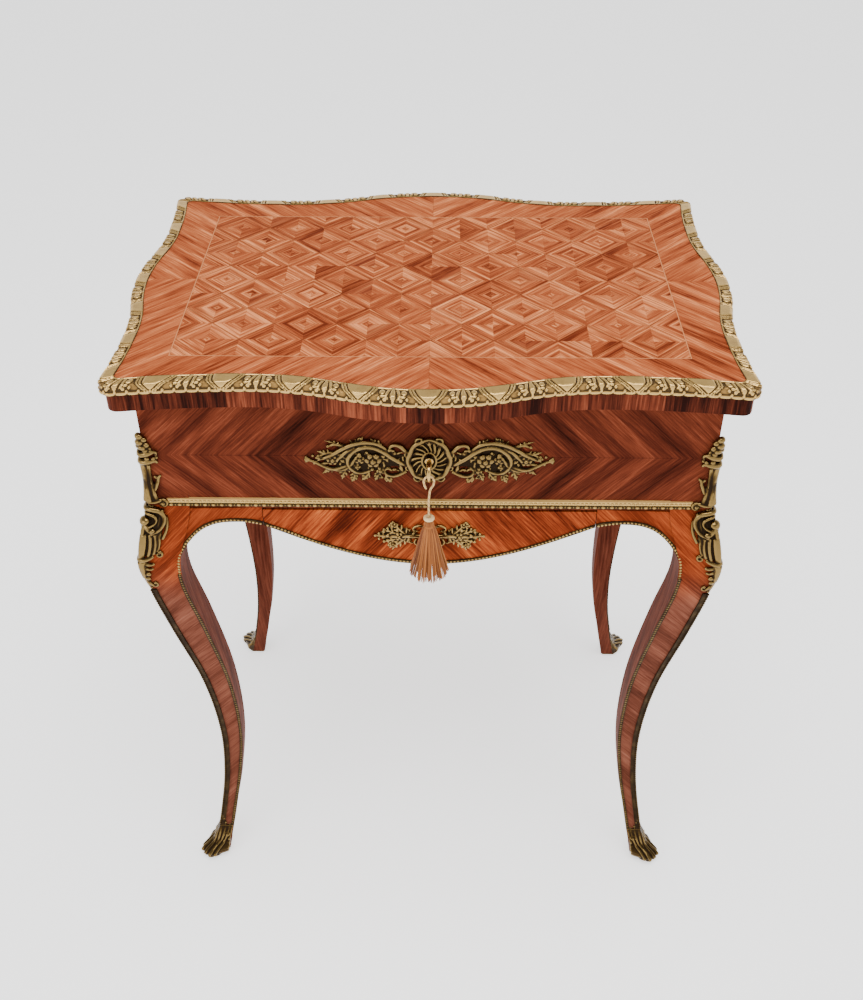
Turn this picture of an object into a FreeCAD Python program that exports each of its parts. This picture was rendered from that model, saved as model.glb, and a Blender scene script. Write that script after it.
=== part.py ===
import FreeCAD, Part
import math
import os

# Serpentine work table: hinged lid over a work compartment, one shallow drawer in the apron,
# cabriole legs and brass mounts. Millimetres, +Z up, +Y to the back, floor centre at the origin.

# Case
case_width = 550.0
case_depth = 373.0
case_top = 691.5
case_bottom = 566.0
panel_thickness = 16.0
post_size = 38.0
floor_thickness = 8.0
partition_thickness = 6.0
partition_height = 86.0
partition_x = 113.0
cross_partition_spacing = 114.0

# Cabriole legs: (height, reach beyond the case face, width of the square section)
leg_foot_height = 4.0
knee_blend = 34.0
leg_stations = [
    (leg_foot_height, 0.0, 17.0),
    (64.0, -12.5, 16.0),
    (131.0, -22.5, 18.5),
    (204.0, -25.5, 23.0),
    (298.0, -17.5, 28.5),
    (402.0, 1.5, 34.5),
    (470.0, 13.0, 35.0),
    (505.0, 16.0, 37.5),
    (540.0, 10.5, 41.0),
]
knee_top_reach = 3.0
knee_top_width = 39.5
knee_end_inset = 1.5
leg_section_step = 30.0

# Apron and arches
apron_thickness = 18.0
arch_apex_drop = 15.5
arch_apex_inset = 74.0
arch_half_width = 55.0
arch_rise = 60.5
front_drop = 56.0
side_drop = 45.5
drop_shape = [(0.0, 1.0), (0.3, 0.86), (0.57, 0.53), (0.79, 0.17)]
apron_end_inset = 12.0
apron_flat_margin = 3.0

# Drawer
drawer_split = 167.2
drawer_side_gap = 0.7
drawer_top_gap = 2.5
drawer_box_half_width = 126.0
drawer_side_height = 28.0
drawer_side_thickness = 8.0
drawer_back_thickness = 8.0
drawer_bottom_thickness = 4.0
drawer_bottom_lift = 4.0
drawer_box_length = 289.0
drawer_running_gap = 0.3
runner_ledge = 12.0
runner_ledge_thickness = 5.5
runner_guide_thickness = 13.0
runner_front_gap = 1.0

# Lid
lid_thickness = 31.0
lid_edge_height = 18.5
# How far the lid reaches beyond the case at its corners, its dips and its bulges
lid_corner_over_x = 27.0
lid_corner_over_y = 23.5
lid_front_dip_over = 14.5
lid_front_bulge_over = 39.5
lid_side_dip_over = 22.0
lid_side_bulge_over = 34.0
# How far in from the corners the dips lie
lid_front_dip_inset = 137.0
lid_side_dip_inset = 100.0
lid_corner_cut = 13.0
lid_least_corner = 4.0
lid_edge_inset = 5.0
lid_lipping = 5.0
moulding_width = 14.5
moulding_lip = 1.5
lid_panel_drop = 1.0

# Hinges
hinge_spacing = 170.0
hinge_length = 60.0
hinge_leaf_width = 14.0
hinge_leaf_thickness = 1.6
hinge_knuckle_radius = 3.0
hinge_pin_radius = 1.5
hinge_pin_clearance = 0.05
hinge_axis_offset = 3.5
hinge_knuckles = 3
hinge_knuckle_gap = 0.3
hinge_recess_clearance = 0.1
hinge_barrel_clearance = 0.5

# Box lock, bolt and link plate
keyhole_drop = 60.0
lock_width = 68.0
lock_foot = 19.5
lock_thickness = 14.0
lock_inset = 8.0
lock_wall = 1.6
lock_cap = 2.0
staple_spacing = 21.5
staple_thickness = 2.5
staple_width = 9.0
staple_height = 14.0
staple_eye = 4.8
staple_slot_clearance = 0.4
link_plate_length = 46.0
link_plate_width = 13.0
link_plate_thickness = 1.5
bolt_prong = 3.6
bolt_prong_length = 6.0
bolt_finger = 4.0
bolt_prong_gap = 2.0
bolt_bar_height = 8.0
bolt_bar_gap = 1.5
bolt_tail_width = 12.0
bolt_throw = 7.0
bolt_seat_gap = 0.3
bolt_tail_gap = 1.5
lock_rib_height = 6.0

# Key
key_shank_radius = 2.6
key_bore_radius = 3.0
key_bit_length = 11.5
key_bit_thickness = 2.2
key_bit_depth = 4.5
key_end_gap = 0.5
key_shank_out = 19.0
key_collar_radius = 4.2
key_collar_length = 3.0
key_collar_gap = 1.0
key_bow_radius = 8.5
key_bow_wire = 3.0

# Brass mounts
waist_lift = 3.0
waist_height = 9.5
waist_reach = 4.0
waist_end_inset = 15.0
# Waist moulding section: (share of its reach, share of its height)
waist_profile = [(0.0, 0.0), (0.7, 0.06), (1.0, 0.3), (0.7, 0.45), (1.0, 0.62), (0.6, 0.9), (0.0, 1.0)]
bead_width = 3.4
bead_reach = 1.6
bead_edge_inset = 0.4
corner_strip_size = 6.0
corner_strip_reach = 2.0
strip_end_gap = 0.5
# Corner mount: (height, reach beyond the leg, width on each face)
mount_stations = [
    (656.0, 2.0, 9.0),
    (641.0, 6.8, 20.0),
    (620.0, 6.2, 18.5),
    (605.0, 4.0, 11.5),
    (592.0, 4.2, 12.0),
    (576.0, 8.5, 23.0),
    (555.0, 8.0, 27.0),
    (532.0, 7.0, 27.0),
    (512.0, 6.6, 23.0),
    (492.0, 4.6, 16.0),
    (468.0, 2.2, 8.0),
]
# Sabot: (height, reach beyond the case face, width)
sabot_stations = [
    (0.0, 8.0, 23.0),
    (5.0, 14.0, 30.0),
    (11.0, 16.5, 33.5),
    (16.0, 11.0, 29.0),
    (21.0, 2.5, 21.0),
    (30.0, -0.5, 19.8),
    (42.0, -2.5, 20.5),
]
escutcheon_length = 240.0
escutcheon_height = 40.0
escutcheon_boss_width = 44.0
escutcheon_boss_height = 52.0
escutcheon_thickness = 4.0
escutcheon_boss_thickness = 8.0
keyhole_lift = 4.5
drawer_mount_length = 112.0
drawer_mount_height = 30.0
drawer_mount_boss_width = 24.0
drawer_mount_boss_height = 38.0
drawer_mount_lift = 38.0
drawer_mount_boss_thickness = 5.6
keyhole_slot_width = 4.0
keyhole_slot_drop = 9.0
# How far a cutter runs past the face it leaves
through = 1.0

# Cord and tassel
cord_diameter = 2.4
cord_sides = 6
bead_radius = 5.6
bead_tube = 2.1
cord_bore_gap = 0.25
bead_drop = 47.0
neck_drop = 10.0
knot_drop = 10.0
skirt_length = 65.0
neck_radius = 5.2
skirt_radius = 20.0

# Derived places
half_width = case_width / 2
half_depth = case_depth / 2
lid_corner_x = half_width + lid_corner_over_x
lid_corner_y = half_depth + lid_corner_over_y
lid_front_dip = half_depth + lid_front_dip_over
lid_front_bulge = half_depth + lid_front_bulge_over
lid_side_dip = half_width + lid_side_dip_over
lid_side_bulge = half_width + lid_side_bulge_over
lid_front_dip_x = lid_corner_x - lid_front_dip_inset
lid_side_dip_y = lid_corner_y - lid_side_dip_inset
lid_top = case_top + lid_thickness
arch_apex_height = case_bottom - arch_apex_drop
moulding_bottom = case_top + lid_edge_height
panel_inner_x = half_width - panel_thickness
panel_inner_y = half_depth - panel_thickness
post_inner_x = half_width - post_size
post_inner_y = half_depth - post_size
floor_top = case_bottom + floor_thickness
drawer_top = case_bottom - drawer_top_gap
front_back_face = -(half_depth - apron_thickness)
hinge_axis_y = half_depth + hinge_axis_offset
keyhole_height = case_top - keyhole_drop
lock_front = -(half_depth - lock_inset)
lock_back = lock_front + lock_thickness
lock_bottom = keyhole_height - lock_foot
staple_y = (lock_front + lock_back) / 2
key_bow_y = -(half_depth + escutcheon_boss_thickness + key_shank_out)
bow_rim = keyhole_height - key_bow_radius
bead_height = bow_rim - bead_drop
neck_height = bead_height - neck_drop
knot_height = neck_height - knot_drop
skirt_bottom = neck_height - skirt_length
apron_flat_end = drawer_split + apron_flat_margin
vec = FreeCAD.Vector


def export(name, shape):
    shape.exportStep(f"parts/{name}.step")


def box(x0, y0, z0, x1, y1, z1):
    return Part.makeBox(x1 - x0, y1 - y0, z1 - z0, vec(x0, y0, z0))


def mirror_x(shape):
    return shape.mirror(vec(0, 0, 0), vec(1, 0, 0))


def mirror_y(shape):
    return shape.mirror(vec(0, 0, 0), vec(0, 1, 0))


def turned(shape, degrees):
    copy = shape.copy()
    copy.rotate(vec(0, 0, 0), vec(0, 0, 1), degrees)
    return copy


def spline(points, start=None, end=None):
    curve = Part.BSplineCurve()
    if start is None:
        curve.interpolate(points)
    else:
        curve.interpolate(Points=points, InitialTangent=start, FinalTangent=end)
    return curve.toShape()


def cylinder_x(radius, x0, x1, y, z):
    return Part.makeCylinder(radius, x1 - x0, vec(x0, y, z), vec(1, 0, 0))


def cylinder_y(radius, y0, y1, x, z):
    return Part.makeCylinder(radius, y1 - y0, vec(x, y0, z), vec(0, 1, 0))


def smooth(stations, height, column):
    # Cubic through the stations with slopes from their neighbours
    rows = stations
    last = len(rows) - 2
    i = 0
    while i < last and rows[i + 1][0] < height:
        i += 1

    def slope(k):
        a = max(k - 1, 0)
        b = min(k + 1, len(rows) - 1)
        return (rows[b][column] - rows[a][column]) / (rows[b][0] - rows[a][0])

    span = rows[i + 1][0] - rows[i][0]
    t = (height - rows[i][0]) / span
    h00 = 2 * t**3 - 3 * t**2 + 1
    h10 = t**3 - 2 * t**2 + t
    h01 = -2 * t**3 + 3 * t**2
    h11 = t**3 - t**2
    return (h00 * rows[i][column] + h10 * span * slope(i)
            + h01 * rows[i + 1][column] + h11 * span * slope(i + 1))


# Every leg profile ends in the knee, flush with the case above it
leg_profile = leg_stations + [
    (case_bottom, knee_top_reach, knee_top_width),
    (case_bottom + knee_blend, 0.0, post_size - knee_end_inset),
]


def leg_reach(height):
    if height >= case_bottom + knee_blend:
        return 0.0
    return smooth(leg_profile, height, 1)


def corner_square(height, reach, width):
    x = half_width + reach
    y = half_depth + reach
    corners = [(x, y), (x - width, y), (x - width, y - width), (x, y - width)]
    points = [vec(a, b, height) for a, b in corners]
    return Part.makePolygon(points + points[:1])


def heights_between(low, high, step):
    count = max(2, math.ceil((high - low) / step))
    return [low + (high - low) * i / count for i in range(count + 1)]


# Legs
def make_leg():
    top = case_bottom + knee_blend
    sections = []
    for height in heights_between(leg_foot_height, top, leg_section_step):
        width = smooth(leg_profile, height, 2)
        sections.append(corner_square(height, smooth(leg_profile, height, 1), width))
    cabriole = Part.makeLoft(sections, True, False)
    post = box(post_inner_x, post_inner_y, arch_apex_height, half_width, half_depth, case_top)
    return cabriole.fuse(post).removeSplitter()


def make_corner_mount(leg):
    sections = []
    for height, reach, width in mount_stations:
        sections.append(corner_square(height, leg_reach(height) + reach, width))
    return Part.makeLoft(sections, True, False).cut(leg)


def make_sabot(leg):
    sections = [corner_square(*station) for station in sabot_stations]
    return Part.makeLoft(sections, True, False).cut(leg)


def make_corner_strip(leg):
    sections = []
    low = sabot_stations[-1][0] + strip_end_gap
    high = mount_stations[-1][0] - strip_end_gap
    for height in heights_between(low, high, leg_section_step):
        reach = leg_reach(height) + corner_strip_reach
        sections.append(corner_square(height, reach, corner_strip_size))
    return Part.makeLoft(sections, True, False).cut(leg)


def make_leg_bead(leg):
    # Strip on the leg's back face, in the +X +Y quadrant, beside its inner edge
    sections = []
    low = sabot_stations[-1][0] + strip_end_gap
    high = arch_apex_height - arch_rise
    for height in heights_between(low, high, leg_section_step):
        reach = leg_reach(height)
        inner = half_width + reach - smooth(leg_profile, height, 2) + bead_edge_inset
        face = half_depth + reach
        points = [
            vec(inner, face - bead_reach, height),
            vec(inner + bead_width, face - bead_reach, height),
            vec(inner + bead_width, face + bead_reach, height),
            vec(inner, face + bead_reach, height),
        ]
        sections.append(Part.makePolygon(points + points[:1]))
    return Part.makeLoft(sections, True, False).cut(leg)


# Aprons, made facing -Y with their length along X, then turned to their side
def apron_region(half, drop, grow):
    apex_x = half - arch_apex_inset
    apex_z = arch_apex_height + grow
    outer_x = apex_x + arch_half_width + grow
    spring_z = arch_apex_height - arch_rise
    fall = [vec(share * apex_x, 0, apex_z - drop * part) for share, part in drop_shape]
    middle = spline(fall + [vec(apex_x, 0, apex_z)], vec(1, 0, 0), vec(1, 0, 0))
    bend = math.sqrt(0.5)
    arch_middle = vec(apex_x + (arch_half_width + grow) * bend, 0, spring_z + (arch_rise + grow) * bend)
    arch_points = [vec(apex_x, 0, apex_z), arch_middle, vec(outer_x, 0, spring_z)]
    arch = spline(arch_points, vec(1, 0, 0), vec(0, 0, -1))
    edges = [middle, arch, mirror_x(middle), mirror_x(arch)]
    end_x = half + post_size
    edges.append(Part.makePolygon([
        vec(outer_x, 0, spring_z),
        vec(end_x, 0, spring_z),
        vec(end_x, 0, case_bottom),
        vec(-end_x, 0, case_bottom),
        vec(-end_x, 0, spring_z),
        vec(-outer_x, 0, spring_z),
    ]))
    all_edges = []
    for edge in edges:
        all_edges.extend(edge.Edges)
    face = Part.Face(Part.Wire(Part.sortEdges(all_edges)[0]))
    reach = max(case_width, case_depth)
    face.translate(vec(0, -reach, 0))
    return face.extrude(vec(0, 2 * reach, 0))


def apron_section(x, depth, follows_leg):
    low = arch_apex_height - max(front_drop, side_drop, arch_rise) - bead_width
    heights = heights_between(low, case_bottom, leg_section_step)
    front = [vec(x, -(depth + (leg_reach(z) if follows_leg else 0.0)), z) for z in heights]
    back_y = -(depth - apron_thickness)
    edges = [spline(front)]
    back = [vec(x, back_y, case_bottom), vec(x, back_y, low)]
    edges.extend(Part.makePolygon([front[-1]] + back + [front[0]]).Edges)
    return Part.Wire(edges)


def apron_blank(half, depth, flat):
    end = half - apron_end_inset
    places = [(-end, True), (-flat, False), (flat, False), (end, True)]
    spans = []
    for (x0, leg0), (x1, leg1) in zip(places, places[1:]):
        ends = [apron_section(x0, depth, leg0), apron_section(x1, depth, leg1)]
        spans.append(Part.makeLoft(ends, True, True))
    return spans[0].multiFuse(spans[1:]).removeSplitter()


def apron_bead(blank, half, drop, keep_out):
    band = apron_region(half, drop, 0.0).cut(apron_region(half, drop, bead_width))
    skin = blank.copy()
    skin.translate(vec(0, -bead_reach, 0))
    return skin.common(band).cut(keep_out)


def main_solid(shape):
    return max(shape.Solids, key=lambda solid: solid.Volume)


def solid_on_side(shape, side):
    return main_solid(Part.makeCompound([s for s in shape.Solids if s.CenterOfMass.x * side > 0]))


# Lid outlines, inset from the outer edge of the brass moulding
def wave_points(corner, dip_at, dip, bulge):
    # Half of one serpentine edge as points (along, out): bulge, meeting point, dip, corner,
    # with the middle of each tangent arc between them
    rise = bulge - dip
    radius = (rise**2 + dip_at**2) / (4 * rise)
    half_turn = math.asin(dip_at / 2 / radius) / 2
    meeting = (dip_at / 2, (bulge + dip) / 2)
    before_dip = (dip_at - radius * math.sin(half_turn), dip + radius * (1 - math.cos(half_turn)))
    run = corner[0] - dip_at
    lift = corner[1] - dip
    end_radius = (run**2 + lift**2) / (2 * lift)
    end_turn = math.asin(run / end_radius) / 2
    before_corner = (dip_at + end_radius * math.sin(end_turn), dip + end_radius * (1 - math.cos(end_turn)))
    return (0.0, bulge), meeting, before_dip, (dip_at, dip), before_corner, corner


def wave_edges(points, place):
    bulge, meeting, before_dip, dip, before_corner, corner = points
    runs = [
        ((-meeting[0], meeting[1]), bulge, meeting),
    ]
    for side in (-1, 1):
        for run in ((meeting, before_dip, dip), (dip, before_corner, corner)):
            runs.append(tuple((side * along, out) for along, out in run))
    return [Part.Arc(*(place(*point) for point in run)).toShape() for run in runs]


def lid_outline(inset, height):
    cx = lid_corner_x - inset
    cy = lid_corner_y - inset
    cut = max(lid_corner_cut - inset / 2, lid_least_corner)
    front = wave_points((cx - cut, cy), lid_front_dip_x, lid_front_dip - inset, lid_front_bulge - inset)
    side = wave_points((cy - cut, cx), lid_side_dip_y, lid_side_dip - inset, lid_side_bulge - inset)
    edges = []
    for sign in (-1, 1):
        edges.extend(wave_edges(front, lambda along, out: vec(along, sign * out, height)))
        edges.extend(wave_edges(side, lambda along, out: vec(sign * out, along, height)))
    bend = cut * (1 - math.sqrt(0.5))
    for sx in (-1, 1):
        for sy in (-1, 1):
            start = vec(sx * (cx - cut), sy * cy, height)
            middle = vec(sx * (cx - bend), sy * (cy - bend), height)
            finish = vec(sx * cx, sy * (cy - cut), height)
            edges.append(Part.Arc(start, middle, finish).toShape())
    return Part.Wire(Part.sortEdges(edges)[0])


def lid_slab(inset, low, high):
    return Part.Face(lid_outline(inset, low)).extrude(vec(0, 0, high - low))


def make_moulding(core):
    low = moulding_bottom
    rise = lid_top - low
    profile = [
        (moulding_lip, low),
        (0.0, low + 0.38 * rise),
        (0.2 * moulding_width, low + 0.88 * rise),
        (moulding_width, lid_top),
    ]
    wires = [lid_outline(inset, height) for inset, height in profile]
    spans = [Part.makeLoft([a, b], True, True) for a, b in zip(wires, wires[1:])]
    field = lid_slab(moulding_width, moulding_bottom, lid_top + through)
    return spans[0].multiFuse(spans[1:]).cut(core).cut(field)


# Front mounts: a boss with two leafy wings
def wing_outline(length, height, boss):
    half = length / 2
    tall = height / 2
    rise = [(0.0, 0.5), (0.22, 0.95), (0.42, 0.72), (0.6, 0.98), (0.8, 0.55), (1.0, 0.05)]
    span = half - boss * 0.3
    upper = [vec(boss * 0.3 + share * span, 0, part * tall) for share, part in rise]
    fall = [(0.9, 0.42), (0.68, 0.8), (0.5, 0.6), (0.3, 0.9), (0.0, 0.5)]
    lower = [vec(boss * 0.3 + share * span, 0, -part * tall) for share, part in fall]
    top = spline(upper)
    bottom = spline([upper[-1]] + lower)
    close = Part.makeLine(lower[-1], upper[0])
    return Part.Face(Part.Wire(Part.sortEdges([top, bottom, close])[0]))


def keyhole_cut(y0, y1, height):
    round_hole = cylinder_y(key_bore_radius, y0, y1, 0, height)
    half = keyhole_slot_width / 2
    slot = box(-half, y0, height - keyhole_slot_drop, half, y1, height)
    return round_hole.fuse(slot)


def make_escutcheon(length, height, boss_width, boss_height, boss_thickness, centre_z):
    wing = wing_outline(length, height, boss_width).extrude(vec(0, -escutcheon_thickness, 0))
    oval = Part.Ellipse(vec(0, 0, 0), boss_height / 2, boss_width / 2).toShape()
    face = Part.Face(Part.Wire(oval))
    face.rotate(vec(0, 0, 0), vec(0, 0, 1), 90)
    face.rotate(vec(0, 0, 0), vec(1, 0, 0), 90)
    boss = face.extrude(vec(0, -boss_thickness, 0))
    rim = [e for e in boss.Edges if abs(e.CenterOfMass.y + boss_thickness) < 0.01]
    boss = boss.makeChamfer(boss_thickness * 0.45, rim)
    mount = boss.multiFuse([wing, mirror_x(wing)]).removeSplitter()
    mount.translate(vec(0, -half_depth, centre_z))
    return mount


# Hinges
def make_hinge(centre_x):
    start = centre_x - hinge_length / 2
    pitch = hinge_length / hinge_knuckles
    leaf_back = half_depth + hinge_recess_clearance
    leaf_front = leaf_back - hinge_leaf_width
    plates = []
    for sign in (-1, 1):
        face = case_top + sign * hinge_recess_clearance
        z0, z1 = sorted((face, face + sign * hinge_leaf_thickness))
        plates.append(box(start, leaf_front, z0, start + hinge_length, leaf_back, z1))
    bore = cylinder_x(hinge_pin_radius + hinge_pin_clearance, start - through, start + hinge_length + through,
                      hinge_axis_y, case_top)
    leaves = []
    for which, plate in enumerate(plates):
        pieces = []
        for k in range(which, hinge_knuckles, 2):
            x0 = start + k * pitch + (hinge_knuckle_gap if k else 0.0)
            x1 = start + (k + 1) * pitch
            pieces.append(cylinder_x(hinge_knuckle_radius, x0, x1, hinge_axis_y, case_top))
            plate_box = plate.BoundBox
            pieces.append(box(x0, leaf_front, plate_box.ZMin, x1, hinge_axis_y, plate_box.ZMax))
        leaves.append(plate.multiFuse(pieces).cut(bore).removeSplitter())
    pin = cylinder_x(hinge_pin_radius, start, start + hinge_length, hinge_axis_y, case_top)
    return leaves[0], leaves[1], pin


def hinge_recess(centre_x, sign):
    start = centre_x - hinge_length / 2
    face = case_top + sign * (hinge_leaf_thickness + hinge_recess_clearance)
    z0, z1 = sorted((case_top, face))
    leaf_front = half_depth + hinge_recess_clearance - hinge_leaf_width
    leaf = box(start, leaf_front, z0, start + hinge_length, hinge_axis_y, z1)
    room = hinge_barrel_clearance
    barrel = cylinder_x(hinge_knuckle_radius + room, start - room, start + hinge_length + room,
                        hinge_axis_y, case_top)
    return leaf.fuse(barrel)


hinge_places = [-hinge_spacing / 2, hinge_spacing / 2]


# Lid
def make_lid():
    core = lid_slab(lid_edge_inset + lid_lipping, case_top, moulding_bottom)
    core = core.fuse(lid_slab(moulding_width, moulding_bottom, lid_top - lid_panel_drop)).removeSplitter()
    lipping = lid_slab(lid_edge_inset, case_top, moulding_bottom).cut(core)
    moulding = make_moulding(core.fuse(lipping))
    for x in hinge_places:
        core = core.cut(hinge_recess(x, 1))
        lipping = lipping.cut(hinge_recess(x, 1))
    half = link_plate_length / 2
    recess = box(-half, staple_y - link_plate_width / 2, case_top,
                 half, staple_y + link_plate_width / 2, case_top + link_plate_thickness)
    export("lid_panel", core.cut(recess))
    export("lid_lipping", lipping)
    export("lid_moulding", moulding)

    plate = recess
    for side in (-1, 1):
        x0 = side * staple_spacing / 2 - staple_thickness / 2
        staple = box(x0, staple_y - staple_width / 2, case_top - staple_height,
                     x0 + staple_thickness, staple_y + staple_width / 2, case_top + link_plate_thickness)
        eye_z = case_top - staple_height + staple_eye
        eye = box(x0 - through, staple_y - staple_eye / 2, eye_z - staple_eye / 2,
                  x0 + staple_thickness + through, staple_y + staple_eye / 2, eye_z + staple_eye / 2)
        plate = plate.fuse(staple).cut(eye)
    export("link_plate", plate.removeSplitter())


# Box lock with its sliding bolt
def make_lock():
    half = lock_width / 2
    shell = box(-half, lock_front, lock_bottom, half, lock_back, case_top)
    cavity = box(-half + lock_wall, lock_front + lock_wall, lock_bottom + lock_wall,
                 half - lock_wall, lock_back - lock_wall, case_top - lock_cap)
    lock = shell.cut(cavity)
    for side in (-1, 1):
        x = side * staple_spacing / 2
        gap_x = staple_thickness / 2 + staple_slot_clearance
        gap_y = staple_width / 2 + staple_slot_clearance
        lock = lock.cut(box(x - gap_x, staple_y - gap_y, case_top - lock_cap - through,
                            x + gap_x, staple_y + gap_y, case_top + through))
    lock = lock.cut(keyhole_cut(lock_front - through, lock_front + lock_wall + through, keyhole_height))

    bar_top = case_top - staple_height - bolt_bar_gap
    bar_bottom = bar_top - bolt_bar_height
    y0 = staple_y - bolt_prong / 2
    y1 = staple_y + bolt_prong / 2
    eye_z = case_top - staple_height + staple_eye
    pieces = []
    for side in (-1, 1):
        tip = side * staple_spacing / 2 - staple_thickness / 2 - bolt_prong_gap
        root = tip - bolt_prong_length
        pieces.append(box(root, y0, eye_z - bolt_prong / 2, tip, y1, eye_z + bolt_prong / 2))
        pieces.append(box(root - bolt_finger, y0, bar_bottom, root, y1, eye_z + bolt_prong / 2))
    left = -staple_spacing / 2 - staple_thickness / 2 - bolt_prong_gap - bolt_prong_length - bolt_finger
    right = staple_spacing / 2
    bar = box(left, y0, bar_bottom, right, y1, bar_top)
    tail_half = bolt_tail_width / 2
    tail_bottom = keyhole_height + key_bit_length + bolt_tail_gap
    tail = box(-tail_half, y0, tail_bottom, tail_half, y1, bar_top)
    bolt = bar.multiFuse(pieces + [tail]).removeSplitter()

    rib_top = bar_bottom - bolt_seat_gap
    ribs = [
        (-half + lock_wall, -tail_half - bolt_tail_gap),
        (tail_half + bolt_throw + bolt_tail_gap, half - lock_wall),
    ]
    for x0, x1 in ribs:
        lock = lock.fuse(box(x0, y0, rib_top - lock_rib_height, x1, lock_back - lock_wall, rib_top))
    export("lid_lock_case", lock.removeSplitter())
    export("lid_lock_bolt", bolt)


def make_key():
    inner = lock_front + lock_wall + key_end_gap + key_bit_depth
    ring_edge = key_bow_y + key_bow_radius
    shank = cylinder_y(key_shank_radius, ring_edge, inner, 0, keyhole_height)
    half = key_bit_thickness / 2
    bit = box(-half, inner - key_bit_depth, keyhole_height - key_bit_length, half, inner, keyhole_height)
    collar_y = -(half_depth + escutcheon_boss_thickness + key_collar_length + key_collar_gap)
    collar = cylinder_y(key_collar_radius, collar_y, collar_y + key_collar_length, 0, keyhole_height)
    collar = collar.makeChamfer(key_collar_length * 0.3, [e for e in collar.Edges if e.Closed])
    half_wire = key_bow_wire / 2
    bow = cylinder_x(key_bow_radius + half_wire, -half_wire, half_wire, key_bow_y, keyhole_height)
    bow = bow.cut(cylinder_x(key_bow_radius - half_wire, -half_wire, half_wire, key_bow_y, keyhole_height))
    bow = bow.makeChamfer(key_bow_wire * 0.25, [e for e in bow.Edges if e.Closed])
    return shank.multiFuse([bit, collar, bow]).removeSplitter()


# Cord: a loop round the lower rim of the key's bow, then down through the bead into the tassel's neck
def cord_route():
    y = key_bow_y
    rim = bow_rim
    return [
        vec(-2.6, y, rim - 11.5),
        vec(-4.4, y, rim - 7.0),
        vec(-5.2, y, rim - 1.5),
        vec(-2.9, y, rim + 2.9),
        vec(2.9, y, rim + 2.9),
        vec(5.2, y, rim - 1.5),
        vec(4.4, y, rim - 7.0),
        vec(1.2, y, rim - 12.0),
        vec(0.4, y, rim - 18.5),
        vec(-0.3, y, rim - 26.5),
        vec(0.0, y, bead_height + bead_tube),
        vec(0.0, y, knot_height),
    ]


def rounded_path(points):
    edges = []
    radii = []
    last = points[0]
    for a, b, c in zip(points, points[1:], points[2:]):
        into = (b - a).normalize()
        out = (c - b).normalize()
        turn = into.getAngle(out)
        tangent = 0.45 * min(b.distanceToPoint(a), c.distanceToPoint(b))
        radius = tangent / math.tan(turn / 2)
        radii.append(radius)
        start = b - into * tangent
        finish = b + out * tangent
        normal = (out - into).normalize()
        middle = b + normal * (radius / math.cos(turn / 2) - radius)
        edges.append(Part.LineSegment(last, start).toShape())
        edges.append(Part.Arc(start, middle, finish).toShape())
        last = finish
    edges.append(Part.LineSegment(last, points[-1]).toShape())
    return Part.Wire(edges), radii


def make_tassel():
    points = cord_route()
    path, radii = rounded_path(points)
    start = (points[1] - points[0]).normalize()
    across = vec(0, 1, 0)
    beside = start.cross(across)
    corners = []
    for i in range(cord_sides):
        angle = 2 * math.pi * i / cord_sides
        spoke = across * math.cos(angle) + beside * math.sin(angle)
        corners.append(points[0] + spoke * (cord_diameter / 2))
    section = Part.makePolygon(corners + corners[:1])
    tube = path.makePipeShell([section], True, True)
    area = Part.Face(section).Area
    print("cord radii", [round(r, 1) for r in radii], "length", round(path.Length, 2),
          "volume", round(tube.Volume, 2), "section x length", round(area * path.Length, 2))
    y = key_bow_y
    flat = bead_radius - bead_tube
    girth = bead_tube * 0.5
    bore = cord_diameter / 2 + cord_bore_gap
    bead_profile = [
        (bore, bead_tube), (flat, bead_tube), (bead_radius, girth),
        (bead_radius, -girth), (flat, -bead_tube), (bore, -bead_tube),
    ]
    bead_points = [vec(r, y, bead_height + z) for r, z in bead_profile]
    bead_face = Part.Face(Part.makePolygon(bead_points + bead_points[:1]))
    bead = bead_face.revolve(vec(0, y, 0), vec(0, 0, 1), 360)
    crown = bead_height - bead_tube
    waist = (neck_height * 3 + skirt_bottom) / 4
    profile = [
        vec(0, y, knot_height),
        vec(bore, y, knot_height),
        vec(bore, y, crown),
        vec(neck_radius * 0.62, y, crown),
        vec(neck_radius, y, neck_height),
        vec(neck_radius * 1.35, y, waist),
        vec(skirt_radius * 0.72, y, (waist + skirt_bottom) / 2),
        vec(skirt_radius, y, skirt_bottom),
        vec(0, y, skirt_bottom),
    ]
    face = Part.Face(Part.makePolygon(profile + profile[:1]))
    skirt = face.revolve(vec(0, y, 0), vec(0, 0, 1), 360)
    export("tassel_cord", tube)
    export("tassel_bead", bead)
    export("tassel_skirt", skirt)


# Waist moulding, facing -Y with its length along X
def waist_moulding(half, depth, legs):
    profile = []
    for out, up in waist_profile:
        height = case_bottom + waist_lift + up * waist_height
        profile.append(vec(0, -depth - out * waist_reach, height))
    end = half - waist_end_inset
    section = Part.Face(Part.makePolygon(profile + profile[:1]))
    section.translate(vec(-end, 0, 0))
    return section.extrude(vec(2 * end, 0, 0)).cut(legs)


# Build everything
leg = make_leg()
leg_names = {
    "back_right": leg,
    "back_left": mirror_x(leg),
    "front_right": mirror_y(leg),
    "front_left": mirror_x(mirror_y(leg)),
}
all_legs = Part.makeCompound(list(leg_names.values()))
mount = make_corner_mount(leg)
sabot = make_sabot(leg)
strip = make_corner_strip(leg)
strips = []
for name, placed_leg in leg_names.items():
    side_x = 1 if "right" in name else -1
    side_y = 1 if "back" in name else -1

    def placed(shape):
        out = shape if side_x > 0 else mirror_x(shape)
        return out if side_y > 0 else mirror_y(out)

    export(f"{name}_leg", placed_leg)
    export(f"{name}_corner_mount", placed(mount))
    export(f"{name}_sabot", placed(sabot))
    strips.append(placed(strip))
export("leg_corner_strips", Part.makeCompound(strips))

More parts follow.
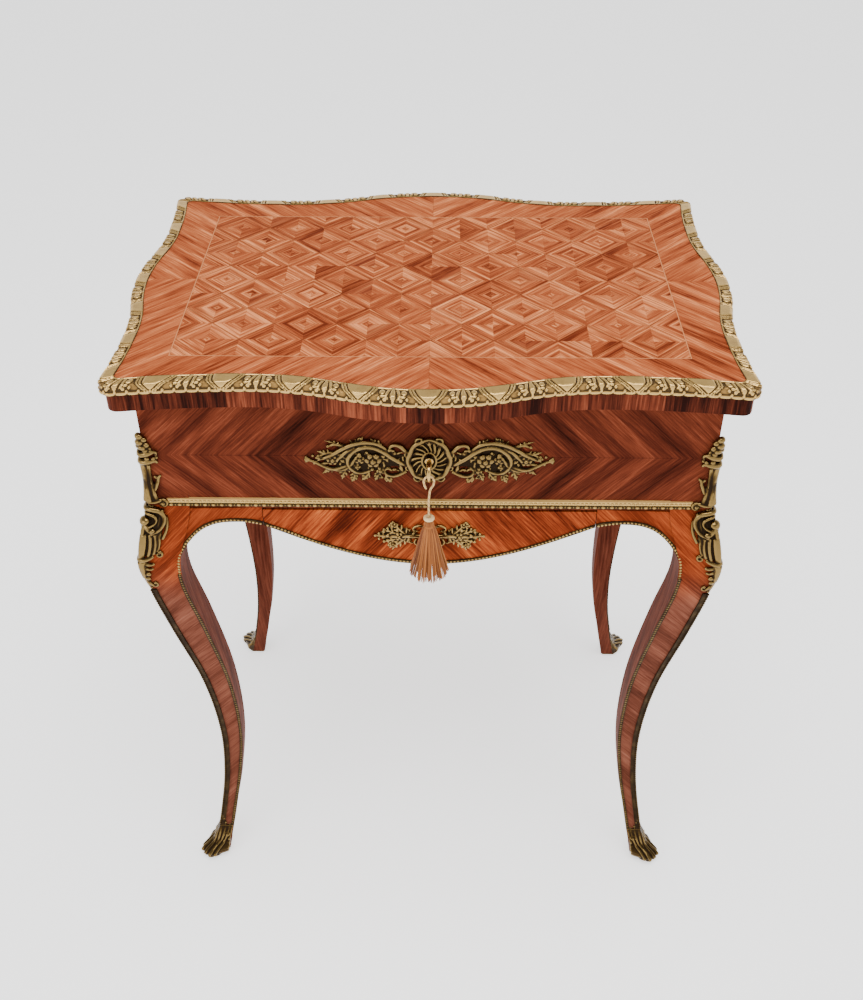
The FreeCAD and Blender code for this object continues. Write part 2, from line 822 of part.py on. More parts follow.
# Case panels between the corner posts
lock_pocket = box(-lock_width / 2, lock_front, lock_bottom,
                  lock_width / 2, -panel_inner_y + through, case_top)
front_panel = box(-post_inner_x, -half_depth, case_bottom, post_inner_x, -panel_inner_y, case_top)
front_keyhole = keyhole_cut(-half_depth - through, lock_front + through, keyhole_height)
front_panel = front_panel.cut(lock_pocket).cut(front_keyhole)
back_panel = box(-post_inner_x, panel_inner_y, case_bottom, post_inner_x, half_depth, case_top)
for x in hinge_places:
    back_panel = back_panel.cut(hinge_recess(x, -1))
right_panel = box(panel_inner_x, -post_inner_y, case_bottom, half_width, post_inner_y, case_top)
export("front_panel", front_panel)
export("back_panel", back_panel)
export("right_panel", right_panel)
export("left_panel", mirror_x(right_panel))
floor = box(-panel_inner_x, -panel_inner_y, case_bottom, panel_inner_x, panel_inner_y, floor_top)
export("compartment_floor", floor.cut(all_legs))

# Partitions of the work compartment
partition_top = floor_top + partition_height
long_x = partition_x + partition_thickness
export("long_partition", box(partition_x, -panel_inner_y, floor_top, long_x, panel_inner_y, partition_top))
cross = []
for side in (-1, 1):
    y = side * cross_partition_spacing / 2
    cross.append(box(long_x, y - partition_thickness / 2, floor_top,
                     panel_inner_x, y + partition_thickness / 2, partition_top))
export("cross_partitions", Part.makeCompound(cross))

# Aprons, front brackets, their beading and the drawer front
front_blank = apron_blank(half_width, half_depth, apron_flat_end)
front_shape = front_blank.common(apron_region(half_width, front_drop, 0.0))
opening = box(-drawer_split, -2 * half_depth, 0, drawer_split, 0, case_bottom + through)
brackets = front_shape.cut(opening).cut(all_legs)
export("front_left_bracket", solid_on_side(brackets, -1))
export("front_right_bracket", solid_on_side(brackets, 1))
front_bead = apron_bead(front_blank, half_width, front_drop, Part.makeCompound([front_blank, all_legs]))
bracket_bead = front_bead.cut(opening)

leg_bead = make_leg_bead(leg)
side_leg_bead = leg_bead.mirror(vec(half_width, half_depth, 0), vec(1, -1, 0).normalize())
for side, name in ((-1, "left"), (1, "right")):
    leg_part = mirror_y(leg_bead)
    if side < 0:
        leg_part = mirror_x(leg_part)
    export(f"front_{name}_beading", Part.makeCompound([leg_part, solid_on_side(bracket_bead, side)]))

export("back_apron", main_solid(turned(front_shape, 180).cut(all_legs)))
back_pieces = [leg_bead, mirror_x(leg_bead), main_solid(turned(front_bead, 180))]
export("back_beading", Part.makeCompound(back_pieces))

side_flat = half_depth - (half_width - apron_flat_end)
side_blank = apron_blank(half_depth, half_width, side_flat)
side_shape = turned(side_blank.common(apron_region(half_depth, side_drop, 0.0)), 90)
side_shape = main_solid(side_shape.cut(all_legs))
side_bead = turned(apron_bead(side_blank, half_depth, side_drop, side_blank), 90)
right_pieces = [side_leg_bead, mirror_y(side_leg_bead), main_solid(side_bead.cut(all_legs))]
export("right_apron", side_shape)
export("left_apron", mirror_x(side_shape))
export("right_beading", Part.makeCompound(right_pieces))
export("left_beading", Part.makeCompound([mirror_x(piece) for piece in right_pieces]))

# Waist mouldings
front_waist = waist_moulding(half_width, half_depth, all_legs)
side_waist = turned(waist_moulding(half_depth, half_width, turned(all_legs, 90)), 90)
export("front_waist_moulding", front_waist)
export("back_waist_moulding", turned(front_waist, 180))
export("right_waist_moulding", side_waist)
export("left_waist_moulding", mirror_x(side_waist))

# Drawer
front_half = drawer_split - drawer_side_gap
drawer_zone = box(-front_half, -2 * half_depth, 0, front_half, 0, drawer_top)
drawer_front = front_shape.common(drawer_zone)
box_top = drawer_top - drawer_running_gap
box_bottom = box_top - drawer_side_height
box_back = front_back_face + drawer_box_length
inner_half = drawer_box_half_width - drawer_side_thickness
right_side = box(inner_half, front_back_face, box_bottom, drawer_box_half_width, box_back, box_top)
drawer_back = box(-inner_half, box_back - drawer_back_thickness, box_bottom, inner_half, box_back, box_top)
bottom_z = box_bottom + drawer_bottom_lift
drawer_bottom = box(-inner_half, front_back_face, bottom_z,
                    inner_half, box_back - drawer_back_thickness, bottom_z + drawer_bottom_thickness)
drawer_mount_z = arch_apex_height - front_drop + drawer_mount_lift
export("drawer_front", drawer_front)
export("drawer_right_side", right_side)
export("drawer_left_side", mirror_x(right_side))
export("drawer_back", drawer_back)
export("drawer_bottom", drawer_bottom)
export("drawer_beading", front_bead.common(drawer_zone))
export("drawer_mount", make_escutcheon(drawer_mount_length, drawer_mount_height, drawer_mount_boss_width,
                                       drawer_mount_boss_height, drawer_mount_boss_thickness,
                                       drawer_mount_z))

# L-shaped runners hung from the compartment floor
guide_inner = drawer_box_half_width + drawer_running_gap
guide_outer = guide_inner + runner_guide_thickness
ledge_top = box_bottom - drawer_running_gap
runner_y = (front_back_face + runner_front_gap, half_depth - apron_thickness)
ledge_bottom = ledge_top - runner_ledge_thickness
guide = box(guide_inner, runner_y[0], ledge_bottom, guide_outer, runner_y[1], case_bottom)
ledge = box(guide_inner - runner_ledge, runner_y[0], ledge_bottom, guide_inner, runner_y[1], ledge_top)
runner = guide.fuse(ledge).removeSplitter()
export("drawer_right_runner", runner)
export("drawer_left_runner", mirror_x(runner))

# Lid, hinges, lock, key and tassel
make_lid()
case_leaves = []
lid_leaves = []
pins = []
for x in hinge_places:
    case_leaf, lid_leaf, pin = make_hinge(x)
    case_leaves.append(case_leaf)
    lid_leaves.append(lid_leaf)
    pins.append(pin)
export("hinge_case_leaves", Part.makeCompound(case_leaves))
export("hinge_lid_leaves", Part.makeCompound(lid_leaves))
export("hinge_pins", Part.makeCompound(pins))
make_lock()
mount_z = keyhole_height - keyhole_lift
keyhole_mount = make_escutcheon(escutcheon_length, escutcheon_height, escutcheon_boss_width,
                                escutcheon_boss_height, escutcheon_boss_thickness, mount_z)
mount_front = -half_depth - escutcheon_boss_thickness
mount_keyhole = keyhole_cut(mount_front - through, -half_depth + through, keyhole_height)
export("keyhole_mount", keyhole_mount.cut(mount_keyhole))
export("key", make_key())
make_tassel()
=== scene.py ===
import bpy
import math
import random
import numpy as np
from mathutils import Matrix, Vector


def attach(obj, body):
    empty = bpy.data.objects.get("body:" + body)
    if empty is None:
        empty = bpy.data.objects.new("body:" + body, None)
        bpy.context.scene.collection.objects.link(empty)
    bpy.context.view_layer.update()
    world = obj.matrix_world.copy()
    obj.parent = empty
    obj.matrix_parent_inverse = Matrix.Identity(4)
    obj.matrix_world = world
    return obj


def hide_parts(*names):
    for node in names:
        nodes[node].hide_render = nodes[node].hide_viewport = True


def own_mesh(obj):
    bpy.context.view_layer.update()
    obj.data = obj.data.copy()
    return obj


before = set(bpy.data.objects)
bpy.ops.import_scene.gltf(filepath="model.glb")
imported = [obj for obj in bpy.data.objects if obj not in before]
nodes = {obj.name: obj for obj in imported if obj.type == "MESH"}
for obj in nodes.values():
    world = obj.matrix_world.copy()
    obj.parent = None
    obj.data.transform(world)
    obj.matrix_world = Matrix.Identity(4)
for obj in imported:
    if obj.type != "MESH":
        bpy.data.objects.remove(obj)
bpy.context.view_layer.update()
rng = random.Random(7)
mm = 0.001
print("frame loaded:", len(nodes), "nodes")


# camera at the picture's viewpoint
cameraSet = {"place": (0.0125, -1.0927, 1.2830), "down": 38.106, "turn": 0.684, "lens": 41.794,
             "sensor": 36, "shift": (0.0005, 0.0039)}
cameraTurn = (math.radians(90 - cameraSet["down"]), 0, math.radians(cameraSet["turn"]))
bpy.ops.object.camera_add(location=cameraSet["place"], rotation=cameraTurn)
camera = bpy.context.object
camera.name = "viewCamera"
camera.data.lens = cameraSet["lens"]
camera.data.sensor_width = cameraSet["sensor"]
camera.data.shift_x, camera.data.shift_y = cameraSet["shift"]
camera.data.dof.use_dof = False
bpy.context.scene.camera = camera


# small mesh helpers
def clearPick():
    if bpy.context.object and bpy.context.object.mode != "OBJECT":
        bpy.ops.object.mode_set(mode="OBJECT")
    bpy.ops.object.select_all(action="DESELECT")


def pick(piece):
    clearPick()
    piece.select_set(True)
    bpy.context.view_layer.objects.active = piece
    return piece


def placesOf(piece):
    flat = np.empty(len(piece.data.vertices) * 3, np.float32)
    piece.data.vertices.foreach_get("co", flat)
    return flat.reshape(-1, 3).astype(float)


def putPlaces(piece, places):
    piece.data.vertices.foreach_set("co", np.asarray(places, np.float32).ravel())
    piece.data.update()


def mark(piece, name, values):
    # one number for each point, read by the finishes
    layer = piece.data.attributes.new(name, "FLOAT", "POINT")
    layer.data.foreach_set("value", np.asarray(values, np.float32).ravel())


def unit(rows):
    return rows / np.linalg.norm(rows, axis=1)[:, None]


def applyAll(piece):
    pick(piece)
    for step in list(piece.modifiers):
        bpy.ops.object.modifier_apply(modifier=step.name)
    return piece


def newPiece(name, places, faces):
    mesh = bpy.data.meshes.new(name)
    mesh.from_pydata([tuple(p) for p in places], [], faces)
    mesh.update()
    piece = bpy.data.objects.new(name, mesh)
    bpy.context.scene.collection.objects.link(piece)
    return piece


def patternOf(add, **sizes):
    # points and faces of a primitive that is copied many times
    clearPick()
    add(**sizes)
    pattern = bpy.context.object
    places = placesOf(pattern)
    faces = [tuple(p.vertices) for p in pattern.data.polygons]
    bpy.data.objects.remove(pattern)
    return places, faces


def joined(name, parts):
    clearPick()
    for part in parts:
        part.select_set(True)
    bpy.context.view_layer.objects.active = parts[0]
    if len(parts) > 1:
        bpy.ops.object.join()
    whole = bpy.context.view_layer.objects.active
    whole.name = name
    whole.data.name = name
    return whole


def outward(piece):
    pick(piece)
    bpy.ops.object.mode_set(mode="EDIT")
    bpy.ops.mesh.select_all(action="SELECT")
    bpy.ops.mesh.remove_doubles(threshold=1e-6)
    bpy.ops.mesh.normals_make_consistent(inside=False)
    bpy.ops.object.mode_set(mode="OBJECT")
    return piece


def softShade(piece, degrees):
    pick(piece)
    bpy.ops.object.shade_smooth_by_angle(angle=math.radians(degrees))
    return piece


hollowSet = {"spread": 5, "gain": 1.3}


def markHollows(piece):
    # how far each point lies below its neighbours, kept as a point attribute for the patina and the painted
    # shade in hollows
    mesh = piece.data
    places = placesOf(piece)
    normals = np.empty(len(mesh.vertices) * 3, np.float32)
    mesh.vertex_normals.foreach_get("vector", normals)
    normals = normals.reshape(-1, 3).astype(float)
    pairs = np.empty(len(mesh.edges) * 2, np.int32)
    mesh.edges.foreach_get("vertices", pairs)
    a, b = pairs.reshape(-1, 2).T
    count = np.bincount(np.concatenate([a, b]), minlength=len(places)).clip(1)

    def average(values):
        total = np.zeros_like(values)
        np.add.at(total, a, values[b])
        np.add.at(total, b, values[a])
        return total / count[:, None]

    wide = places
    for _ in range(hollowSet["spread"]):
        wide = average(wide)
    depth = ((wide - places) * normals).sum(1)
    size = np.linalg.norm(places[a] - places[b], axis=1).mean()
    mark(piece, "hollow", np.clip(0.5 + hollowSet["gain"] * depth / size, 0, 1))
    return piece


# finishes: sums of sockets are written as plain sums
def mathOf(operation, turned=False):
    # a method that adds one maths node
    def reckon(self, *others):
        values = (*others, self) if turned else (self, *others)
        return self.finish.node("ShaderNodeMath", {"operation": operation}, dict(enumerate(values)))
    return reckon


class Wire:
    def __init__(self, finish, socket):
        self.finish, self.socket = finish, socket

    __add__, __radd__ = mathOf("ADD"), mathOf("ADD", True)
    __sub__, __rsub__ = mathOf("SUBTRACT"), mathOf("SUBTRACT", True)
    __mul__, __rmul__ = mathOf("MULTIPLY"), mathOf("MULTIPLY", True)
    __truediv__ = mathOf("DIVIDE")
    __abs__, floor = mathOf("ABSOLUTE"), mathOf("FLOOR")
    above, below = mathOf("GREATER_THAN"), mathOf("LESS_THAN")
    least, most = mathOf("MINIMUM"), mathOf("MAXIMUM")


class Finish:
    def __init__(self, name):
        self.material = bpy.data.materials.new(name)
        self.material.use_nodes = True
        self.tree = self.material.node_tree
        self.shader = self.tree.nodes["Principled BSDF"]
        self.coords = None

    def put(self, socket, value):
        if isinstance(value, Wire):
            self.tree.links.new(value.socket, socket)
        elif hasattr(value, "__len__") and len(value) == 3 and socket.type == "RGBA":
            socket.default_value = (*value, 1)
        else:
            socket.default_value = value

    def node(self, kind, settings=None, sockets=None, out=0):
        made = self.tree.nodes.new(kind)
        for key, value in (settings or {}).items():
            if key == "stops":
                ramp = made.color_ramp
                while len(ramp.elements) < len(value):
                    ramp.elements.new(0.5)
                for stop, (place, colour) in zip(ramp.elements, value):
                    stop.position = place
                    stop.color = (*colour, 1)
            else:
                setattr(made, key, value)
        for key, value in (sockets or {}).items():
            self.put(made.inputs[key], value)
        return Wire(self, made.outputs[out])

    def place(self):
        # object coordinates in metres
        if self.coords is None:
            spot = self.node("ShaderNodeTexCoord", out="Object")
            self.coords = [self.node("ShaderNodeSeparateXYZ", None, {0: spot}, k) for k in range(3)]
        return self.coords

    def facing(self):
        turn = self.node("ShaderNodeTexCoord", out="Normal")
        return [self.node("ShaderNodeSeparateXYZ", None, {0: turn}, k) for k in range(3)]

    def vector(self, x, y, z):
        return self.node("ShaderNodeCombineXYZ", None, {0: x, 1: y, 2: z})

    def noise(self, vector, scale=1.0, detail=3.0, rough=0.55):
        return self.node("ShaderNodeTexNoise", None,
                         {"Vector": vector, "Scale": scale, "Detail": detail, "Roughness": rough})

    def chance(self, x, y, z):
        spot = self.vector(x, y, z)
        return self.node("ShaderNodeTexWhiteNoise", {"noise_dimensions": "3D"}, {"Vector": spot})

    def between(self, value, low, high):
        return self.node("ShaderNodeMapRange", {"interpolation_type": "SMOOTHSTEP"},
                         {"Value": value, "From Min": low, "From Max": high})

    def ramp(self, value, stops):
        return self.node("ShaderNodeValToRGB", {"stops": stops}, {0: value})

    def mix(self, share, a, b):
        return self.node("ShaderNodeMix", {"data_type": "RGBA"}, {0: share, 6: a, 7: b}, 2)

    def bump(self, height, strength, distance):
        sockets = {"Strength": strength, "Distance": distance, "Height": height}
        return self.node("ShaderNodeBump", None, sockets)

    def done(self, **sockets):
        for name, value in sockets.items():
            self.put(self.shader.inputs[name.replace("_", " ")], value)
        return self.material


# veneer: bands, streaks and pores along one grain direction
grainSet = {
    "rosy": [(0.16, (0.110, 0.0175, 0.0064)), (0.38, (0.295, 0.064, 0.0205)), (0.58, (0.43, 0.119, 0.041)),
             (0.82, (0.74, 0.265, 0.098))],
    "dark": [(0.18, (0.015, 0.0032, 0.0019)), (0.42, (0.064, 0.0125, 0.0060)),
             (0.62, (0.134, 0.0285, 0.0128)), (0.84, (0.26, 0.066, 0.030))],
    "fire": [(0.18, (0.046, 0.0066, 0.0026)), (0.42, (0.160, 0.0245, 0.0070)),
             (0.60, (0.30, 0.055, 0.0142)), (0.84, (0.58, 0.140, 0.031))],
    "faded": [(0.18, (0.046, 0.0120, 0.0066)), (0.42, (0.112, 0.032, 0.0180)), (0.62, (0.18, 0.058, 0.034)),
              (0.84, (0.28, 0.105, 0.066))],
    "plain": [(0.20, (0.030, 0.0060, 0.0032)), (0.45, (0.078, 0.0185, 0.0100)),
              (0.65, (0.125, 0.033, 0.0180)), (0.85, (0.19, 0.058, 0.034))],
    "inner": [(0.20, (0.20, 0.095, 0.036)), (0.45, (0.32, 0.17, 0.07)), (0.65, (0.40, 0.23, 0.10)),
              (0.85, (0.50, 0.31, 0.15))],
}


# lines per metre along the grain, and the pores' lines across it
runSet = {"bands": 5.0, "streaks": 22.0, "pores": 90.0, "poresAcross": 2600.0, "swing": 0.62, "fleck": 0.45}


def veneer(f, across, along, seed, tones, shift=0.0, bands=55.0, streaks=420.0, contrast=1.5):
    broad = f.noise(f.vector(across * bands, along * runSet["bands"], seed), 1.0, 3.0, 0.55)
    fine = f.noise(f.vector(across * streaks, along * runSet["streaks"], seed + 9.0), 1.0, 5.0, 0.66)
    spot = f.vector(across * runSet["poresAcross"], along * runSet["pores"], seed + 4.0)
    pores = f.noise(spot, 1.0, 2.0, 0.5)
    tone = (broad + fine - 1.0) * (runSet["swing"] * contrast) + 0.5 + shift
    flecks = f.between(pores, 0.60, 0.74)
    colour = f.ramp(tone, grainSet[tones])
    colour = f.mix(flecks * runSet["fleck"], colour, grainSet[tones][0][1])
    height = fine * 0.5 - flecks * 0.6
    return colour, height, tone


def polished(f, colour, height, tone, rough=0.40, coat=0.0):
    return f.done(Base_Color=colour, Roughness=rough + (1.0 - tone) * 0.12, Coat_Weight=coat,
                  Coat_Roughness=0.22, IOR=1.06, Normal=f.bump(height, 0.16, 0.0004))


topSet = {"halfWide": 0.2443, "halfDeep": 0.1544, "stepX": 0.0305, "stepY": 0.0309, "quarter": 0.0217,
          "string": 0.0011, "seam": 0.0004, "underBelow": 0.7}
slant45 = 0.7071


def lidTopFinish():
    f = Finish("lozengeVeneer")
    x, y, z = f.place()
    # lozenges: four quarters each, the grain running along their outer edges
    px, py = x / topSet["stepX"], y / topSet["stepY"]
    s, t = px + py, px - py
    cellS, cellT = (s * 0.5).floor(), (t * 0.5).floor()
    ds, dt = s - cellS * 2.0 - 1.0, t - cellT * 2.0 - 1.0
    dx, dy = (ds + dt) * 0.5, (ds - dt) * 0.5
    ax, ay = abs(dx), abs(dy)
    quarter = dx.above(0.0) * 2.0 + dy.above(0.0)
    ring, slide = ax + ay, ax - ay
    luck = f.chance(cellS, cellT, quarter)
    kind = f.chance(cellS, cellT, 11.0)
    leaning = (dx * dy).above(0.0)
    # nested rings in the grain, the same in all four quarters
    rings = f.noise(f.vector(ring * 6.8, kind * 60.0, luck * 0.25), 1.0, 1.5, 0.5)
    stripe = f.between(rings, 0.42, 0.57)
    groove = f.between(abs(rings - 0.5), 0.035, 0.012)
    shift = (luck - 0.5) * 0.10 + leaning * 0.09 - 0.035 + (stripe - 0.5) * 0.13
    across, along = ring * topSet["quarter"], slide * topSet["quarter"]
    field, fieldHeight, _ = veneer(f, across, along, kind * 40.0 + luck * 0.8, "rosy", shift,
                                   bands=120.0, streaks=760.0, contrast=2.35)
    plum = f.between(f.chance(cellS + 3.0, cellT, quarter), 0.86, 0.99)
    field = f.mix(plum * 0.28, field, (0.14, 0.030, 0.016))
    field = f.mix(groove * 0.55, field, (0.115, 0.020, 0.006))
    seam = topSet["seam"] / topSet["stepX"]
    joint = (1.0 - ring).below(seam * 1.6).most(ax.least(ay).below(seam * 0.5) * 0.35)
    field = f.mix(joint * 0.65, field, (0.085, 0.016, 0.005))
    # border: grain at forty-five degrees in each quadrant
    ex, ey = abs(x), abs(y)
    side = x.above(0.0) * 2.0 + y.above(0.0)
    across, along = (ex - ey) * slant45, (ex + ey) * slant45
    edge, edgeHeight, _ = veneer(f, across, along, side * 5.0 + 2.0, "rosy", -0.04,
                                 bands=95.0, streaks=640.0, contrast=2.1)
    mitre = ex.below(0.0003).most(ey.below(0.0003))
    edge = f.mix(mitre * 0.35, edge, (0.10, 0.03, 0.013))
    outX, outY = ex - topSet["halfWide"], ey - topSet["halfDeep"]
    out = outX.most(outY)
    inBorder = out.above(0.0)
    string = abs(out).below(topSet["string"] * 0.5)
    rim = abs(out).below(topSet["string"] * 0.8)
    colour = f.mix(inBorder, field, edge)
    colour = f.mix(rim * 0.45, colour, (0.12, 0.035, 0.015))
    colour = f.mix(string * 0.7, colour, (0.62, 0.24, 0.095))
    # the underside is plain
    under, _, _ = veneer(f, y, x, 21.0, "plain")
    colour = f.mix(z.below(topSet["underBelow"]), colour, under)
    height = fieldHeight * (1.0 - inBorder) + edgeHeight * inBorder - joint * 0.7 * (1.0 - inBorder)
    haze = f.noise(f.vector(x * 9.0, y * 9.0, z), 1.0, 3.0, 0.6)
    return f.done(Base_Color=colour, Roughness=0.36 + haze * 0.14, IOR=1.045,
                  Normal=f.bump(height, 0.2, 0.0004))


edgeSet = {"block": 0.034, "stagger": 1.2, "spread": 0.40}


def lidEdgeFinish():
    f = Finish("crossBandedEdge")
    x, y, z = f.place()
    nx, ny, _ = f.facing()
    front = abs(ny).above(abs(nx))
    run = x * front + (y + 3.0) * (1.0 - front)
    uneven = f.noise(f.vector(run * 9.0, 0.0, 0.0), 1.0, 1.0) * edgeSet["stagger"]
    block = (run / edgeSet["block"] + uneven).floor()
    shift = (f.chance(block, 4.0, front) - 0.5) * edgeSet["spread"] - 0.05
    colour, height, tone = veneer(f, run, z, block * 0.37, "dark", shift, bands=90.0, streaks=560.0,
                                  contrast=1.9)
    return polished(f, colour, height, tone, 0.36, 0.03)


caseSet = {"bands": 48.0, "streaks": 520.0, "seam": 0.0003, "panelMiddle": 0.630, "waist": 0.570,
           "apronBase": 0.40, "kneeSlant": 0.72, "kneeLift": 0.694, "kneeShift": -0.03}


def caseFinish(name, tones, middle, alongDepth, slant=slant45, shift=0.0, fold=True, contrast=1.5):
    # grain mirrored about the middle of the face, and above and below the joint
    f = Finish(name)
    x, y, z = f.place()
    run = abs(y) if alongDepth else abs(x)
    half = (y if alongDepth else x).above(0.0)
    rise = abs(z - middle) if fold else z - middle
    lift = math.sqrt(1 - slant * slant)
    across, along = run * slant + rise * lift, rise * slant - run * lift
    colour, height, tone = veneer(f, across, along, half * 6.0 + 1.0, tones, shift,
                                  caseSet["bands"], caseSet["streaks"], contrast)
    seam = run.below(caseSet["seam"])
    if fold:
        seam = seam.most(rise.below(caseSet["seam"]))
    colour = f.mix(seam * 0.5, colour, grainSet[tones][0][1])
    # the faces turned inward are plain
    nx, ny, _ = f.facing()
    inward = (nx * x if alongDepth else ny * y).below(-0.01)
    inner, _, _ = veneer(f, z, y if alongDepth else x, 17.0, "plain")
    return polished(f, f.mix(inward, colour, inner), height, tone)


def legFinish():
    f = Finish("legVeneer")
    x, y, z = f.place()
    nx, ny, _ = f.facing()
    fromFront = abs(ny).above(abs(nx))
    outside = (ny * y * fromFront + nx * x * (1.0 - fromFront)).above(0.0)
    run = abs(x) * fromFront + abs(y) * (1.0 - fromFront)
    # the knee follows the brackets' grain and fades down the leg
    half = x.above(0.0) * fromFront + y.above(0.0) * (1.0 - fromFront)
    rise = z - caseSet["apronBase"]
    slant, lift = caseSet["kneeSlant"], caseSet["kneeLift"]
    across, along = run * slant + rise * lift, rise * slant - run * lift
    crossed, height, tone = veneer(f, across, along, half * 6.0 + 1.0, "fire", caseSet["kneeShift"],
                                   caseSet["bands"], caseSet["streaks"])
    crossed = f.mix(f.between(z, 0.51, 0.44), crossed, f.ramp(tone, grainSet["faded"]))
    # above the waist the post carries the same matched veneer as the panels
    rise = abs(z - caseSet["panelMiddle"])
    across, along = (run + rise) * slant45, (rise - run) * slant45
    post, _, _ = veneer(f, across, along, half * 6.0 + 1.0, "dark", 0.0,
                        caseSet["bands"], caseSet["streaks"])
    crossed = f.mix(z.above(caseSet["waist"]), crossed, post)
    straight, _, _ = veneer(f, run + y * 0.3, z, 31.0 + fromFront, "plain", 0.0, bands=110.0, streaks=380.0)
    return polished(f, f.mix(outside, straight, crossed), height, tone)


def insideFinish():
    f = Finish("waxedInside")
    x, y, z = f.place()
    colour, height, _ = veneer(f, x + z * 0.6, y + z * 0.2, 3.0, "inner", 0.0, bands=30.0, streaks=200.0)
    return f.done(Base_Color=colour, Roughness=0.55, Normal=f.bump(height, 0.12, 0.0005))


giltSet = {"bronze": (0.20, 0.108, 0.032), "gold": (0.80, 0.515, 0.170), "patinaAndShade": (0.016, 0.0090, 0.0048)}


def gildedFinish(name, wearAndShade, bright, ground=1.0, shadowBelow=0.0, metallic=1.0, patinaShadeStrength=0.95):
    f = Finish(name)
    x, y, z = f.place()
    hollow = f.node("ShaderNodeAttribute", {"attribute_name": "hollow"}, out="Fac")
    grime = f.noise(f.vector(x, y, z), 110.0, 4.0, 0.6)
    spots = f.noise(f.vector(x, y, z), 420.0, 3.0, 0.55)
    # hollows get the dark patina together with painted shade; the grime noise and the shift move where it
    # starts
    depth = hollow + (grime - 0.5) * 0.3 + wearAndShade
    # raised forms get the bright gold: rubbed gilt together with a painted highlight
    raised = f.between(depth, 0.52, 0.30)
    patinaAndShade = f.between(depth, 0.50, 0.72)
    # painted shadow: everything below the given height is darkened
    if shadowBelow:
        patinaAndShade = patinaAndShade.most(f.between(z, shadowBelow + 0.0004, shadowBelow - 0.0004))
    bronze = tuple(c * bright * ground for c in giltSet["bronze"])
    gold = tuple(c * bright for c in giltSet["gold"])
    metal = f.mix(raised * 0.8 + spots * 0.2, bronze, gold)
    colour = f.mix(patinaAndShade * patinaShadeStrength, metal, giltSet["patinaAndShade"])
    return f.done(Base_Color=colour, Metallic=(1.0 - patinaAndShade * 0.6) * metallic,
                  Roughness=0.30 - raised * 0.11 + patinaAndShade * 0.28, IOR=1.1, Normal=f.bump(spots, 0.12, 0.0003))


def steelFinish():
    f = Finish("oldSteel")
    x, y, z = f.place()
    stain = f.noise(f.vector(x, y, z), 160.0, 4.0, 0.6)
    colour = f.mix(stain, (0.30, 0.27, 0.23), (0.52, 0.49, 0.43))
    return f.done(Base_Color=colour, Metallic=0.95, Roughness=0.30 + stain * 0.25,
                  Normal=f.bump(stain, 0.1, 0.0003))


def threadFinish(name, low, high):
    f = Finish(name)
    x, y, z = f.place()
    strand = f.node("ShaderNodeAttribute", {"attribute_name": "strand"}, out="Fac")
    fine = 1400.0   # fibres per metre
    fibre = f.noise(f.vector(x * fine, y * fine, z * fine * 0.1), 1.0, 2.0)
    colour = f.mix(strand * 0.75 + fibre * 0.3 - 0.05, low, high)
    return f.done(Base_Color=colour, Roughness=0.55 + fibre * 0.1, Sheen_Weight=0.04, Sheen_Roughness=0.4,
                  Specular_IOR_Level=0.25, Normal=f.bump(fibre, 0.25, 0.0003))


lidTop = lidTopFinish()
lidEdge = lidEdgeFinish()
panelMiddle, apronBase = caseSet["panelMiddle"], caseSet["apronBase"]
frontVeneer = caseFinish("frontVeneer", "dark", panelMiddle, False)
sideVeneer = caseFinish("sideVeneer", "dark", panelMiddle, True)
apronVeneer = caseFinish("apronVeneer", "fire", apronBase, False, 0.77, -0.02, False, 2.1)
sideApronVeneer = caseFinish("sideApronVeneer", "dark", apronBase, True, 0.77, 0.10, False)
bracketVeneer = caseFinish("bracketVeneer", "fire", apronBase, False, 0.72, -0.03, False)
legWood = legFinish()
insideWood = insideFinish()
# brass: how far worn and painted into shade, how bright, then the ground's tone
gilded = gildedFinish("agedAndShadedGilt", 0.06, 0.54, metallic=0.6)
# below its fillet the waist band is painted dark as the shadow under it
waistGilt = gildedFinish("waistGilt", 0.30, 0.95, 2.4, 0.5742, metallic=0.6)
mountGilt = gildedFinish("mountGilt", 0.12, 0.27, 0.8)
cornerGilt = gildedFinish("cornerGilt", 0.13, 0.27, 0.8)
drawerGilt = gildedFinish("drawerGilt", 0.06, 0.42, 1.2)
darkGilt = gildedFinish("darkGilt", 0.10, 0.21)
# the strips carry no hollow marks, so the large shift paints them nearly black: dark patina together with
# painted shade
stripGilt = gildedFinish("stripGilt", 0.66, 0.3)
brightGilt = gildedFinish("edgeGilt", 0.0, 0.72, 1.6, metallic=0.7, patinaShadeStrength=0.87)
plainBrass = gildedFinish("hingeBrass", 0.18, 0.7, 1.8)
steel = steelFinish()

# the first word found in a node's name gives its finish
dressSet = [("lid_panel", lidTop), ("lid_lipping", lidEdge), ("front_panel", frontVeneer),
            ("back_panel", frontVeneer), ("left_panel", sideVeneer), ("right_panel", sideVeneer),
            ("drawer_front", apronVeneer), ("_bracket", bracketVeneer), ("back_apron", bracketVeneer),
            ("_apron", sideApronVeneer), ("_leg", legWood), ("lid_lock", steel), ("hinge", plainBrass),
            ("link_plate", plainBrass), ("strips", stripGilt), ("beading", stripGilt), ("waist", waistGilt),
            ("mount", gilded), ("sabot", gilded), ("moulding", gilded), ("key", plainBrass)]
for name, piece in nodes.items():
    finish = next((made for word, made in dressSet if word in name), insideWood)
    piece.data.materials.clear()
    piece.data.materials.append(finish)
print("finishes made")


